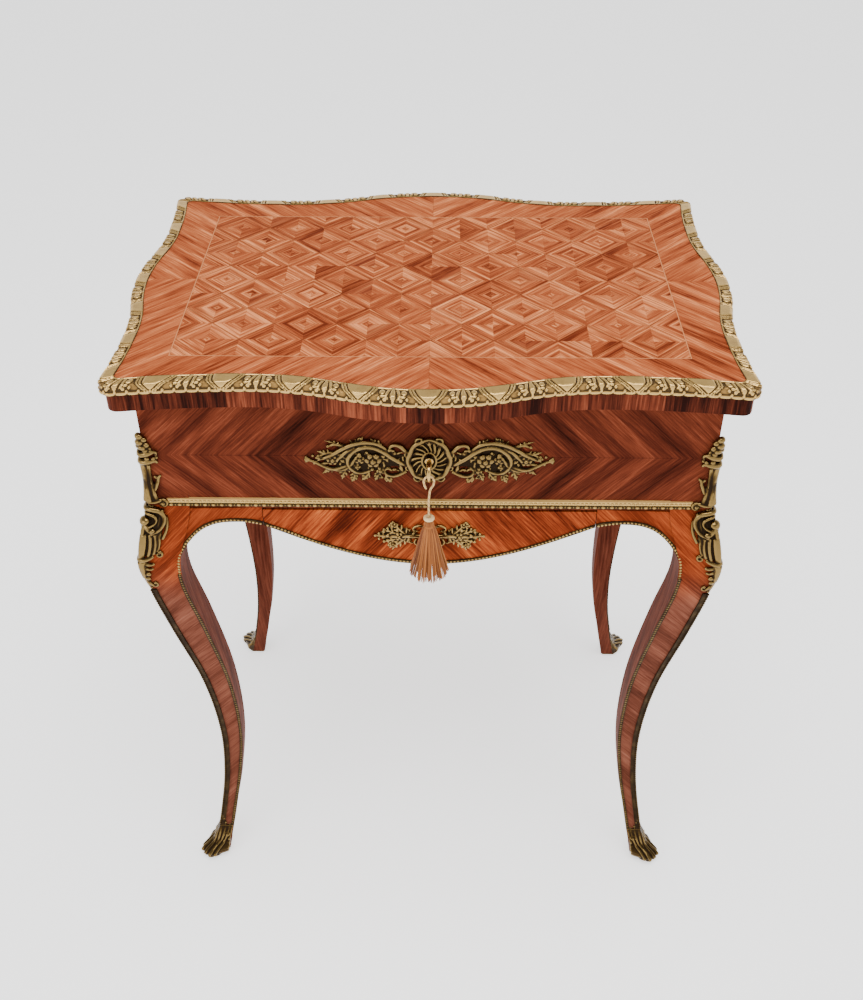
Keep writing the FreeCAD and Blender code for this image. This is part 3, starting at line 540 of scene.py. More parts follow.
# leg outline in mm, shared by what is fixed to the legs: height, reach of the corner, width of a face
legSet = {
    "halfWide": 275.0, "halfDeep": 186.5, "straightFrom": 600,
    "stations": [(4, 0, 17), (64, -12.5, 16), (131, -22.5, 18.5), (204, -25.5, 23), (298, -17.5, 28.5),
                 (402, 1.5, 34.5), (470, 13, 35), (505, 16, 37.5), (540, 10.5, 41), (566, 3, 39.5),
                 (600, 0, 36.5)],
    "sabot": [(0, 8, 23), (5, 14, 30), (11, 16.5, 33.5), (16, 11, 29), (21, 2.5, 21), (30, -.5, 19.8),
              (42, -2.5, 20.5)],
}
# the four corners as signs of x and y
corners = {"front_left": (-1, -1), "front_right": (1, -1), "back_left": (-1, 1), "back_right": (1, 1)}


def hermite(t, span, start, end, slopeStart, slopeEnd):
    return ((2 * t**3 - 3 * t**2 + 1) * start + (t**3 - 2 * t**2 + t) * span * slopeStart
            + (3 * t**2 - 2 * t**3) * end + (t**3 - t**2) * span * slopeEnd)


def alongStations(rows, height, column):
    i = 0
    while i < len(rows) - 2 and rows[i + 1][0] < height:
        i += 1

    def slope(k):
        a, b = max(k - 1, 0), min(k + 1, len(rows) - 1)
        return (rows[b][column] - rows[a][column]) / (rows[b][0] - rows[a][0])

    span = rows[i + 1][0] - rows[i][0]
    t = (height - rows[i][0]) / span
    return hermite(t, span, rows[i][column], rows[i + 1][column], slope(i), slope(i + 1))


def legReach(height):
    return 0.0 if height >= legSet["straightFrom"] else alongStations(legSet["stations"], height, 1)


def legReaches(heights):
    return np.array([legReach(h) for h in heights])


def legWidths(heights):
    return np.array([alongStations(legSet["stations"], h, 2) for h in heights])


# cord from the key's bow, and the tassel, in mm
cordSet = {"diameter": 2.4, "twist": 5.2, "strand": 0.62, "strandOut": 0.56, "step": 0.6,
           "tones": (0.95, 0.80, 0.25), "rim": 623.0, "y": -213.5, "bead": 576.0, "beadRing": 3.45,
           "beadTube": 2.1, "beadWraps": 20, "knot": 556.0, "drawnIn": 0.6}


def cordRoute():
    rim, y = cordSet["rim"], cordSet["y"]
    points = [(-2.6, rim - 11.5), (-4.4, rim - 7.0), (-5.2, rim - 1.5), (-2.9, rim + 2.9), (2.9, rim + 2.9),
              (5.2, rim - 1.5), (4.4, rim - 7.0), (1.2, rim - 12.0), (0.4, rim - 18.5), (-0.3, rim - 26.5),
              (0.0, cordSet["bead"] + cordSet["beadTube"]), (0.0, cordSet["knot"])]
    return [Vector((x, y, z)) * mm for x, z in points]


def newCurve(name, resolution):
    curve = bpy.data.curves.new(name, "CURVE")
    curve.dimensions = "3D"
    curve.resolution_u = resolution
    thing = bpy.data.objects.new(name, curve)
    bpy.context.scene.collection.objects.link(thing)
    return thing


def addStroke(curve, points, radii):
    line = curve.splines.new("NURBS")
    line.points.add(len(points) - 1)
    for spot, place, radius in zip(line.points, points, radii):
        spot.co = (*place, 1)
        spot.radius = radius
    line.order_u = 3
    line.use_endpoint_u = True


def splineThrough(points, name):
    thing = newCurve(name, 14)
    addStroke(thing.data, points, [1.0] * len(points))
    bpy.context.view_layer.update()
    mesh = bpy.data.meshes.new_from_object(thing.evaluated_get(bpy.context.evaluated_depsgraph_get()))
    found = np.array([v.co for v in mesh.vertices])
    bpy.data.objects.remove(thing)
    bpy.data.meshes.remove(mesh)
    return found


def evenly(points, step):
    gaps = np.linalg.norm(np.diff(points, axis=0), axis=1)
    far = np.concatenate([[0], np.cumsum(gaps)])
    spots = np.linspace(0, far[-1], max(2, int(round(far[-1] / step)) + 1))
    return np.stack([np.interp(spots, far, points[:, k]) for k in range(3)], axis=1), spots


def tubeRows(points, radii, sides):
    # rings of points round a line, with a steady side direction
    points = np.asarray(points, float)
    ahead = unit(np.gradient(points, axis=0))
    guide = np.eye(3)[np.argmin(abs(ahead).max(0))]
    side = unit(np.cross(ahead, guide))
    over = np.cross(side, ahead)
    turn = np.linspace(0, 2 * math.pi, sides, endpoint=False)
    ring = side[:, None] * np.cos(turn)[None, :, None] + over[:, None] * np.sin(turn)[None, :, None]
    return points[:, None] + ring * np.asarray(radii, float).reshape(-1, 1, 1)


def tubeMesh(rows, start):
    count, sides, _ = rows.shape
    faces = []
    for i in range(count - 1):
        for k in range(sides):
            a, b = start + i * sides + k, start + i * sides + (k + 1) % sides
            faces.append((a, b, b + sides, a + sides))
    faces.append(tuple(start + k for k in reversed(range(sides))))
    faces.append(tuple(start + (count - 1) * sides + k for k in range(sides)))
    return faces


def tubes(name, lines, sides):
    # lines: (points, radii, strand tone)
    places, faces, tones = [], [], []
    for points, radii, tone in lines:
        rows = tubeRows(points, radii, sides)
        faces += tubeMesh(rows, len(places))
        places += list(rows.reshape(-1, 3))
        tones += [tone] * (rows.shape[0] * sides)
    piece = newPiece(name, places, faces)
    mark(piece, "strand", tones)
    return outward(piece)


def helixAbout(points, far, radius, pitch, phase):
    ahead = unit(np.gradient(points, axis=0))
    side = unit(np.cross(ahead, (0.0, 1.0, 0.0)))
    over = np.cross(side, ahead)
    turn = 2 * math.pi * far / pitch + phase
    return points + radius * (side * np.cos(turn)[:, None] + over * np.sin(turn)[:, None])


def makeCord():
    points, far = evenly(splineThrough(cordRoute(), "cordLine"), cordSet["step"] * mm)
    strands = []
    for k, tone in enumerate(cordSet["tones"]):
        phase = 2 * math.pi * k / len(cordSet["tones"])
        path = helixAbout(points, far, cordSet["strandOut"] * mm, cordSet["twist"] * mm, phase)
        strands.append((path, np.full(len(path), cordSet["strand"] * mm), tone))
    cord = tubes("tasselCord", strands, 6)
    cord.data.materials.append(threadFinish("cordThread", (0.40, 0.17, 0.04), (0.74, 0.52, 0.24)))
    return softShade(cord, 60), points, far[-1]


def makeBead():
    # wrapped ring bead: a torus of wound thread
    centre = np.array((0, cordSet["y"], cordSet["bead"])) * mm
    clearPick()
    bpy.ops.mesh.primitive_torus_add(major_segments=40, minor_segments=20, location=centre,
                                     major_radius=cordSet["beadRing"] * mm,
                                     minor_radius=cordSet["beadTube"] * mm)
    bead = bpy.context.object
    bpy.ops.object.transform_apply(location=True)
    local = placesOf(bead) - centre
    winding = np.sin(np.arctan2(local[:, 1], local[:, 0]) * cordSet["beadWraps"])
    local *= (1 - 0.035 * (winding > 0))[:, None]
    putPlaces(bead, local + centre)
    bead.name = "tasselBead"
    bead.data.name = "tasselBead"
    mark(bead, "strand", 0.75 + 0.25 * winding)
    bead.data.materials.append(threadFinish("beadThread", (0.55, 0.31, 0.10), (0.82, 0.62, 0.33)))
    return softShade(bead, 60)


tasselSet = {"neck": 566.0, "bottom": 507.0, "neckRadius": 4.9, "radius": 19.8, "threads": 170,
             "thread": 0.62, "bends": 9, "headThreads": 30, "wraps": 5, "wrapRadius": 4.75,
             "wrapStep": 0.95, "wrapPoints": 33, "wound": 0.55}


def makeSkirt():
    p = tasselSet
    y, top = cordSet["y"], p["neck"]
    lines = []

    def about(out, angle, z):
        return out * math.cos(angle), y + out * math.sin(angle), z

    for ring, share in ((1.0, 1.0), (0.62, 0.55)):
        count = int(p["threads"] * share)
        neck = p["neckRadius"] * ring
        for k in range(count):
            angle = 2 * math.pi * (k + rng.uniform(-0.35, 0.35)) / count
            reach = p["radius"] * ring * rng.uniform(0.86, 1.0)
            end = p["bottom"] + rng.uniform(0.2, 4.5)
            bow = rng.uniform(-0.10, 0.10)
            path = []
            for t in np.linspace(0, 1, p["bends"]):
                out = neck + (reach - neck) * (0.75 * t**0.72 + 0.25 * t**2)
                path.append(about(out, angle + bow * t, top + (end - top) * t))
            thick = p["thread"] * rng.uniform(0.85, 1.15)
            radii = np.linspace(thick, thick * 0.75, p["bends"])
            lines.append((np.array(path) * mm, radii * mm, rng.uniform(0.0, 1.0)))
    # the head above the binding: threads gathered over the bead's end
    crown = cordSet["bead"] - cordSet["beadTube"]
    head = ((1.5, crown), (3.6, crown - 1.6), (4.5, crown - 4.6), (4.3, top + 0.6))
    for k in range(p["headThreads"]):
        angle = 2 * math.pi * k / p["headThreads"]
        path = [about(out, angle, z) for out, z in head]
        lines.append((np.array(path) * mm, np.full(len(head), p["wound"]) * mm, rng.uniform(0.3, 1.0)))
    skirt = tubes("skirtThreads", lines, 5)
    wraps = []
    for k in range(p["wraps"]):
        z = top + 1.4 - k * p["wrapStep"]
        ring = [about(p["wrapRadius"], turn, z) for turn in np.linspace(0, 2 * math.pi, p["wrapPoints"])]
        wraps.append((np.array(ring) * mm, np.full(p["wrapPoints"], p["wound"]) * mm, 0.9))
    binding = tubes("skirtBinding", wraps, 6)
    whole = joined("tasselSkirt", [skirt, binding])
    whole.data.materials.append(threadFinish("goldThread", (0.10, 0.019, 0.003), (0.47, 0.165, 0.036)))
    return softShade(whole, 50)


cord, cordPath, cordLength = makeCord()
bead = makeBead()
skirt = makeSkirt()
for piece, node in ((cord, "tassel_cord"), (bead, "tassel_bead"), (skirt, "tassel_skirt")):
    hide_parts(node)
    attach(piece, "tassel")
    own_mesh(piece)
print("cord and tassel made, cord length", round(cordLength, 4))


# lid moulding: the cast border swept round the serpentine edge
lidSet = {
    "cornerX": 302.0, "cornerY": 210.0, "frontDipX": 165.0, "frontDip": 201.0, "frontBulge": 226.0,
    "sideDipY": 110.0, "sideDip": 297.0, "sideBulge": 309.0, "cut": 13.0, "leastCut": 4.0,
    "low": 710.0, "top": 722.5, "width": 14.5, "motifs": 32, "rows": 26, "step": 0.85,
    "frontRun": 620, "sideRun": 430, "cornerRun": 21, "backUp": 0.2,
    # ovolo section from the lower outer edge to the inner top edge: share of the way, shares in and up
    "section": [(0, 0.09, 0.02), (0.10, 0.01, 0.13), (0.24, 0.0, 0.45), (0.36, 0.03, 0.72),
                (0.50, 0.10, 0.91), (0.66, 0.27, 0.98), (1, 1.0, 1.0)],
}


def waveOut(along, dipAt, dip, bulge, cornerAt, corner):
    along = np.abs(along)
    rise = bulge - dip
    radius = (rise**2 + dipAt**2) / (4 * rise)
    run, lift = cornerAt - dipAt, corner - dip
    endRadius = (run**2 + lift**2) / (2 * lift)
    middle = bulge - radius + np.sqrt(radius**2 - np.minimum(along, dipAt / 2)**2)
    back = dip + radius - np.sqrt(radius**2 - np.clip(dipAt - along, 0, dipAt / 2)**2)
    end = dip + endRadius - np.sqrt(endRadius**2 - np.clip(along - dipAt, 0, None)**2)
    return np.where(along < dipAt / 2, middle, np.where(along < dipAt, back, end))


def lidRing(inset):
    p = lidSet
    cx, cy = p["cornerX"] - inset, p["cornerY"] - inset
    cut = max(p["cut"] - inset / 2, p["leastCut"])
    endX, endY = cx - cut, cy - cut
    nFront, nSide, nCorner = (int(p[run] / p["step"]) for run in ("frontRun", "sideRun", "cornerRun"))
    x = np.linspace(-endX, endX, nFront, endpoint=False)
    out = waveOut(x, p["frontDipX"], p["frontDip"] - inset, p["frontBulge"] - inset, endX, cy)
    front = np.stack([x, -out], 1)
    y = np.linspace(-endY, endY, nSide, endpoint=False)
    out = waveOut(y, p["sideDipY"], p["sideDip"] - inset, p["sideBulge"] - inset, endY, cx)
    right = np.stack([out, y], 1)
    turn = np.linspace(-math.pi / 2, 0, nCorner, endpoint=False)
    corner = np.stack([endX + cut * np.cos(turn), -endY + cut * np.sin(turn)], 1)
    turn = np.linspace(0, math.pi / 2, nCorner, endpoint=False)
    far = np.stack([endX + cut * np.cos(turn), endY + cut * np.sin(turn)], 1)
    half = np.concatenate([front, corner, right, far])
    return np.concatenate([half, -half])


def ridge(distance, width):
    return np.sqrt(np.clip(1 - (distance / width)**2, 0, 1))


# relief of the border in mm: motif length, span over the section, rims of the shield, drops of the spray
castSet = {"pitch": 57.0, "span": 17.5, "shield": 10.6, "scallops": 6, "ground": 1.1, "most": 1.5,
           "blur": 5, "rims": [(1.9, 0.95, 1.25), (4.3, 0.85, 1.05)],
           "drops": [(8.4, 9.0, 2.0), (8.8, 13.4, 2.3), (6.6, 5.8, 1.5), (11.6, 6.6, 1.2)]}


def castBorder(s, v):
    # s runs along the edge, v from the outer lower edge to the inner top edge
    pitch = castSet["pitch"]
    shield = (s + pitch / 2) % pitch - pitch / 2
    spray = s % pitch - pitch / 2
    a, b = np.abs(shield), np.abs(spray)
    gap = a - castSet["shield"] * np.clip((v - 4.0) / 12.0, 0, 1)**0.62
    inside = np.clip(-gap / 1.6, 0, 1) * (v > 4.2)
    forms = [1.35 * np.sqrt(inside) * (0.82 + 0.18 * (a / 9)**2)]
    forms += [high * ridge(gap - place, width) * (v > 2.6) for place, width, high in castSet["rims"]]
    # spray: a middle leaf, two curled leaves and drops
    leaf = 2.1 * np.clip((v - 3.5) / 4, 0, 1) * np.clip((17.2 - v) / 5, 0, 1)**0.5 + 0.2
    forms.append(1.45 * ridge(b, leaf) * (v > 3.5) * (0.72 + 0.28 * (b > 0.45)))
    bend = 4.3 + 1.3 * np.sin((v - 5) / 9 * math.pi)
    forms.append(1.2 * ridge(b - bend, 1.35) * (v > 6) * (v < 16))
    for along, across, size in castSet["drops"]:
        forms.append(0.85 * size * ridge(np.hypot(b - along, v - across), size))
    # scalloped lower edge with beads, and a plain upper fillet
    scallop = pitch / castSet["scallops"]
    forms.append(1.25 * np.abs(np.sin(math.pi * s / scallop))**0.6 * ridge(v - 1.7, 1.7))
    tips = (s / scallop + 0.5) % 1 - 0.5
    forms.append(0.9 * 1.15 * ridge(np.hypot(tips * scallop, v - 3.4), 1.15))
    forms.append(0.95 * ridge(v - 16.9, 0.75))
    return np.clip(np.maximum.reduce(forms), 0, castSet["most"])


def makeLidMoulding():
    p = lidSet
    outer, inner = lidRing(0.0), lidRing(p["width"])
    steps = np.linalg.norm(outer - np.roll(outer, -1, 0), axis=1)
    far = np.concatenate([[0], np.cumsum(steps)[:-1]])
    # the first shield stands at the middle of the front
    start = far[np.argmin(np.abs(outer[:, 0]) + (outer[:, 1] > 0) * 1e6)]
    pitch = steps.sum() / p["motifs"]
    share = np.linspace(0, 1, p["rows"])
    knots, goesIn, goesUp = np.array(p["section"]).T
    inward = np.interp(share, knots, goesIn) * p["width"]
    upward = np.interp(share, knots, goesUp) * (p["top"] - p["low"])
    slopeIn, slopeUp = np.gradient(inward), np.gradient(upward)
    size = np.hypot(slopeIn, slopeUp)
    s, v = np.meshgrid(far - start, share * castSet["span"], indexing="ij")
    relief = castBorder(s * castSet["pitch"] / pitch, v)
    # the ground is sunk below the section's line, at right angles to it
    sunk = np.clip(castSet["ground"] - relief, 0, None)
    z = p["low"] + upward[None] - sunk * (slopeIn / size)[None]
    mixIn = ((inward[None] + sunk * (slopeUp / size)[None]) / p["width"])[..., None]
    plan = outer[:, None] * (1 - mixIn) + inner[:, None] * mixIn
    surface = np.concatenate([plan, z[..., None]], 2)
    back = []
    for part in (0.93, 0.12):
        flat = outer * (1 - part) + inner * part
        back.append(np.concatenate([flat, np.full((len(flat), 1), p["low"] + p["backUp"])], 1))
    rows = np.concatenate([surface, np.stack(back, 1)], 1) * mm
    count, sides, _ = rows.shape
    faces = []
    for i in range(count):
        j = (i + 1) % count
        for k in range(sides):
            m = (k + 1) % sides
            faces.append((i * sides + k, j * sides + k, j * sides + m, i * sides + m))
    piece = newPiece("lidMoulding", rows.reshape(-1, 3), faces)
    # painted shade: dark lines where the relief drops beside a raised form, the open ground only a little
    # darker and the raised forms lighter as a painted highlight
    soft = relief
    for _ in range(castSet["blur"]):
        wide = np.pad(soft, ((1, 1), (0, 0)), "wrap")
        tall = np.pad(soft, ((0, 0), (1, 1)), "edge")
        soft = (wide[:-2] + wide[2:] + tall[:, :-2] + tall[:, 2:]) / 4
    tone = 0.50 + (soft - relief) * 0.95 - relief * 0.13
    # the inner top edge painted dark as a shadow line against the lid; the back rows dark too
    tone[:, -1] = 0.85
    mark(piece, "hollow", np.concatenate([tone, np.full((count, 2), 0.8)], 1))
    outward(piece)
    piece.data.materials.append(brightGilt)
    softShade(piece, 50)
    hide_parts("lid_moulding")
    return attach(piece, "lid")


lidMoulding = makeLidMoulding()
print("lid moulding made:", len(lidMoulding.data.polygons), "faces")


# bead rows along the aprons, the legs' inner edges and the strips on their outer corners
beadSet = {"pitch": 3.7, "lift": 0.7, "inset": 1.75, "legTop": 489.0, "legLow": 46.0, "stripTop": 466.0,
           "stripOut": 1.5, "stretch": (1.75, 1.75, 1.5), "stripStretch": (1.75, 1.9, 1.6)}


def beadRow(name, lines, stretch, body, finish):
    # lines: (points, pitch, normal); one small ball, stretched, is copied along each line
    form, shape = patternOf(bpy.ops.mesh.primitive_uv_sphere_add, segments=7, ring_count=5, radius=1.0)
    along, across, out = (form[:, k:k + 1] * stretch[k] for k in range(3))
    # each ball's sides are marked as hollow and its outward top as raised: painted shade round the sides, a
    # painted highlight on top
    shade = list(0.72 - 0.5 * np.clip(form[:, 2], 0, 1))
    places, faces, hollow = [], [], []
    for points, pitch, normal in lines:
        spots, _ = evenly(np.asarray(points, float), pitch)
        up = np.asarray(normal, float)
        for spot, run in zip(spots, unit(np.gradient(spots, axis=0))):
            side = np.cross(run, up)
            side /= np.linalg.norm(side)
            start = len(places)
            places += list(spot + along * run + across * side + out * up)
            faces += [tuple(start + k for k in f) for f in shape]
            hollow += shade
    piece = newPiece(name, np.array(places) * mm, faces)
    mark(piece, "hollow", hollow)
    outward(piece)
    piece.data.materials.append(finish)
    softShade(piece, 70)
    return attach(piece, body)


apronSet = {"apexZ": 550.5, "apexInset": 74.0, "archHalf": 55.0, "rise": 60.5, "split": 167.2,
            "flat": 170.2, "endInset": 12.0, "frontDrop": 56.0, "sideDrop": 45.5, "legBelow": 530,
            "shape": [(0.0, 1.0), (0.3, 0.86), (0.57, 0.53), (0.79, 0.17), (1.0, 0.0)]}


def apronEdge(half, drop):
    # right half of the lower edge, from the middle to the foot of the arch, as (x, z)
    p = apronSet
    apexX = half - p["apexInset"]
    xs = np.linspace(0, apexX, 60)
    knots = np.array(p["shape"])
    t = xs / apexX
    i = np.clip(np.searchsorted(knots[:, 0], t, side="right") - 1, 0, len(knots) - 2)
    slopes = np.gradient(knots[:, 1], knots[:, 0])
    slopes[0] = slopes[-1] = 0
    span = knots[i + 1, 0] - knots[i, 0]
    u = (t - knots[i, 0]) / span
    fall = hermite(u, span, knots[i, 1], knots[i + 1, 1], slopes[i], slopes[i + 1])
    low = np.stack([xs, p["apexZ"] - drop * fall], 1)
    turn = np.linspace(0, math.pi / 2, 30)[1:]
    archZ = p["apexZ"] - p["rise"] * (1 - np.cos(turn))
    arch = np.stack([apexX + p["archHalf"] * np.sin(turn), archZ], 1)
    return np.concatenate([low, arch])


def apronFace(x, z, half, depth):
    # depth of the apron's face: flat in the middle, bulging with the leg at its ends
    flat = apronSet["flat"] - (legSet["halfWide"] - half)
    end = half - apronSet["endInset"]
    share = np.clip((x - flat) / (end - flat), 0, 1)
    return depth + share * legReaches(z)


def edgeBeads():
    front, sides, drawerLine, legLines, strips = [], [], [], [], []
    wide, deep, pitch = legSet["halfWide"], legSet["halfDeep"], beadSet["pitch"]
    heights = np.linspace(beadSet["legTop"], beadSet["legLow"], 100)
    reach = legReaches(heights)
    for half, depth, drop, onSide in ((wide, deep, apronSet["frontDrop"], False),
                                      (deep, wide, apronSet["sideDrop"], True)):
        edge = apronEdge(half, drop)
        x, z = edge[:, 0], edge[:, 1]
        x = np.where(z < apronSet["legBelow"], np.minimum(x, half + legReaches(z) - legWidths(z)), x)
        runX, runZ = np.gradient(x), np.gradient(z)
        shift = beadSet["inset"] / np.hypot(runX, runZ)
        x, z = x - runZ * shift, z + runX * shift
        face = apronFace(x, z, half, depth) + beadSet["lift"]
        legX = half + reach - legWidths(heights) + beadSet["inset"]
        for mx, my in corners.values():
            def row(along, out, up):
                line = (my * out, mx * along, up) if onSide else (mx * along, my * out, up)
                return np.stack(line, 1), pitch, (my, 0, 0) if onSide else (0, my, 0)

            legLines.append(row(legX, depth + reach + beadSet["lift"], heights))
            # the front's middle part moves with the drawer
            if my < 0 and not onSide:
                outer, middle = x > apronSet["split"] + 1, x < apronSet["split"] - 2
                front.append(row(x[outer], face[outer], z[outer]))
                drawerLine.append(row(x[middle], face[middle], z[middle]))
            else:
                inner = x >= 0
                sides.append(row(x[inner], face[inner], z[inner]))
    # the strips down the outer corners carry the same beads
    heights = np.linspace(beadSet["stripTop"], beadSet["legLow"], 100)
    reach = legReaches(heights) + beadSet["stripOut"]
    slant = math.sqrt(0.5)
    for mx, my in corners.values():
        line = np.stack([mx * (wide + reach), my * (deep + reach), heights], 1)
        strips.append((line, pitch, (mx * slant, my * slant, 0)))
    small = beadSet["stretch"]
    beadRow("frontEdgeBeads", front, small, "case", gilded)
    beadRow("sideEdgeBeads", sides, small, "case", gilded)
    beadRow("drawerEdgeBeads", drawerLine, small, "drawer", gilded)
    beadRow("legEdgeBeads", legLines, small, "case", darkGilt)
    beadRow("cornerBeads", strips, beadSet["stripStretch"], "case", darkGilt)


waistSet = {"height": 571.9, "out": 3.2, "pitch": 8.4, "filletUp": 3.9, "frontHalf": 256.0,
            "sideHalf": 167.5}


def waistBeads():
    p = waistSet
    fillet, eggs, drops = [], [], []
    for half, depth, onSide in ((p["frontHalf"], legSet["halfDeep"], False),
                                (p["sideHalf"], legSet["halfWide"], True)):
        for side in (-1, 1):
            out = side * (depth + p["out"])

            def row(reach, z, pitch):
                ends = [(out, run, z) if onSide else (run, out, z) for run in (-reach, reach)]
                return ends, pitch, (side, 0, 0) if onSide else (0, side, 0)

            fillet.append(row(half, p["height"] + p["filletUp"], p["pitch"] / 2))
            eggs.append(row(half, p["height"], p["pitch"]))
            drops.append(row(half - p["pitch"] / 2, p["height"], p["pitch"]))
    beadRow("waistFillet", fillet, (1.9, 1.3, 1.0), "case", brightGilt)
    beadRow("waistEggs", eggs, (2.7, 1.9, 1.6), "case", gilded)
    beadRow("waistDrops", drops, (0.7, 1.3, 1.2), "case", gilded)


edgeBeads()
waistBeads()
print("bead rows made")


# castings: strokes and balls (across, up, out, thickness) of a flat drawing, fused and then laid in place
def volute(cx, cz, radius, turns, start, way, thick, out):
    stroke = []
    for t in np.linspace(0, 1, int(10 * turns) + 4):
        r = radius * (1 - 0.82 * t)
        angle = math.radians(start) + way * t * turns * 2 * math.pi
        stroke.append((cx + r * math.cos(angle), cz + r * math.sin(angle), out, thick * (1 - 0.35 * t)))
    return stroke


def leafSpray(base, tip, width, lobes, thick, out, bend=0.0):
    # a midrib with lobes curling forward on both sides
    base, tip = np.array(base, float), np.array(tip, float)
    along = tip - base
    size = np.hypot(*along)
    along /= size
    side = np.array((-along[1], along[0]))
    rib = []
    for t in np.linspace(0, 1, 6):
        spot = base + along * size * t + side * bend * math.sin(t * math.pi)
        rib.append((*spot, out + 0.6 * math.sin(t * math.pi), thick * (1.05 - 0.65 * t)))
    strokes = [rib]
    for k in range(lobes):
        t = (k + 0.35) / lobes
        root = base + along * size * t * 0.85 + side * bend * math.sin(t * math.pi)
        reach = width * (0.55 + 0.45 * math.sin(math.pi * min(1, t + 0.2))) * (1 - 0.45 * t)
        for way in (-1, 1):
            middle = root + along * reach * 0.35 + side * way * reach * 0.62
            end = root + along * reach * 0.95 + side * way * reach * 0.95
            strokes.append([(*root, out, thick * 0.75), (*middle, out + 0.5, thick * 0.85),
                            (*end, out - 0.2, thick * 0.42)])
    return strokes


groundSet = {"gap": 2.3, "thick": 1.5, "out": -0.3, "least": 3}


def groundRows(cx, cz, halfWide, halfTall):
    # thin rows filling an oval behind the open work
    rows = []
    for z in np.arange(-halfTall + groundSet["gap"] / 2, halfTall, groundSet["gap"]):
        reach = halfWide * (1 - (abs(z) / halfTall)**1.5)
        if reach > groundSet["least"]:
            spots = [cx + k * reach for k in (-1, -0.4, 0.4, 1)]
            rows.append([(x, cz + z, groundSet["out"], groundSet["thick"]) for x in spots])
    return rows


def curls(cx, cz, halfWide, halfTall, count):
    # small curled leaves strewn over the ground
    made = []
    for _ in range(count):
        x, z = cx + halfWide * rng.uniform(-1, 1), cz + halfTall * rng.uniform(-1, 1)
        turn = rng.uniform(0, 2 * math.pi)
        bend = turn + rng.choice((-0.8, 0.8))
        made.append([(x, z, 1.0, 1.0), (x + 3.2 * math.cos(turn), z + 3.2 * math.sin(turn), 1.9, 1.4),
                     (x + 5.6 * math.cos(bend), z + 5.6 * math.sin(bend), 1.3, 0.9)])
    return made


def rosette(cx, cz, radius, petals, out, spin=0.0):
    balls = [(cx, cz, out + radius * 0.35, radius * 0.36)]
    far = radius * 0.62
    for k in range(petals):
        angle = spin + 2 * math.pi * k / petals
        balls.append((cx + far * math.cos(angle), cz + far * math.sin(angle), out, radius * 0.42))
    return balls


def melted(piece, voxel, factor, times):
    # forms that overlap run together into one skin
    melt = piece.modifiers.new("melt", "REMESH")
    melt.mode = "VOXEL"
    melt.voxel_size = voxel * mm
    ease = piece.modifiers.new("ease", "SMOOTH")
    ease.factor, ease.iterations = factor, times
    applyAll(piece)


def fused(name, strokes, balls, voxel, keepFaces, extra=()):
    thing = newCurve(name, 4)
    curve = thing.data
    curve.bevel_depth = 1.0 * mm
    curve.bevel_resolution = 2
    curve.use_fill_caps = True
    for stroke in strokes:
        points = [(across * mm, -out * mm, up * mm) for across, up, out, _ in stroke]
        addStroke(curve, points, [thick for _, _, _, thick in stroke])
    pick(thing)
    bpy.ops.object.convert(target="MESH")
    parts = [bpy.context.object]
    form, shape = patternOf(bpy.ops.mesh.primitive_ico_sphere_add, subdivisions=2, radius=1.0)
    places, faces = [], []
    for across, up, out, size in balls:
        start = len(places)
        places += list(form * size * mm + np.array((across, -out, up)) * mm)
        faces += [tuple(start + k for k in f) for f in shape]
    parts.append(newPiece(name + "Balls", places, faces))
    piece = joined(name, parts + list(extra))
    melted(piece, voxel, 0.45, 2)
    if len(piece.data.polygons) > keepFaces:
        thin = piece.modifiers.new("thin", "DECIMATE")
        thin.ratio = keepFaces / len(piece.data.polygons) / 2
        applyAll(piece)
    return piece


def mirrored(items):
    # stroke or ball lists repeated left of the middle line
    out = list(items)
    for item in items:
        if isinstance(item, list):
            out.append([(-p[0], *p[1:]) for p in item])
        elif abs(item[0]) > 0.01:
            out.append((-item[0], *item[1:]))
    return out


def finishCasting(piece, finish, node, body):
    markHollows(outward(piece))
    piece.data.materials.clear()
    piece.data.materials.append(finish)
    pick(piece)
    bpy.ops.object.shade_smooth()
    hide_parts(node)
    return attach(piece, body)


def layFlat(piece, centreZ):
    # the drawing's back lies on the front of the case
    places = placesOf(piece)
    places[:, 1] = np.minimum(places[:, 1], 0.0) - legSet["halfDeep"] * mm
    places[:, 2] += centreZ * mm
    putPlaces(piece, places)
    return piece


def wings(p):
    # the right half of a mount, drawn from its settings, and the same to the left
    strokes = [[(x, z, out, thick * p["stemThick"]) for x, z, out, thick in stem] for stem in p["stems"]]
    for leaf in p["leaves"]:
        strokes += leafSpray(*leaf)
    strokes += groundRows(*p["ground"]) + curls(*p["curls"])
    balls = [ball for flower in p["flowers"] for ball in rosette(*flower)]
    return mirrored(strokes), mirrored(balls + p["berries"])


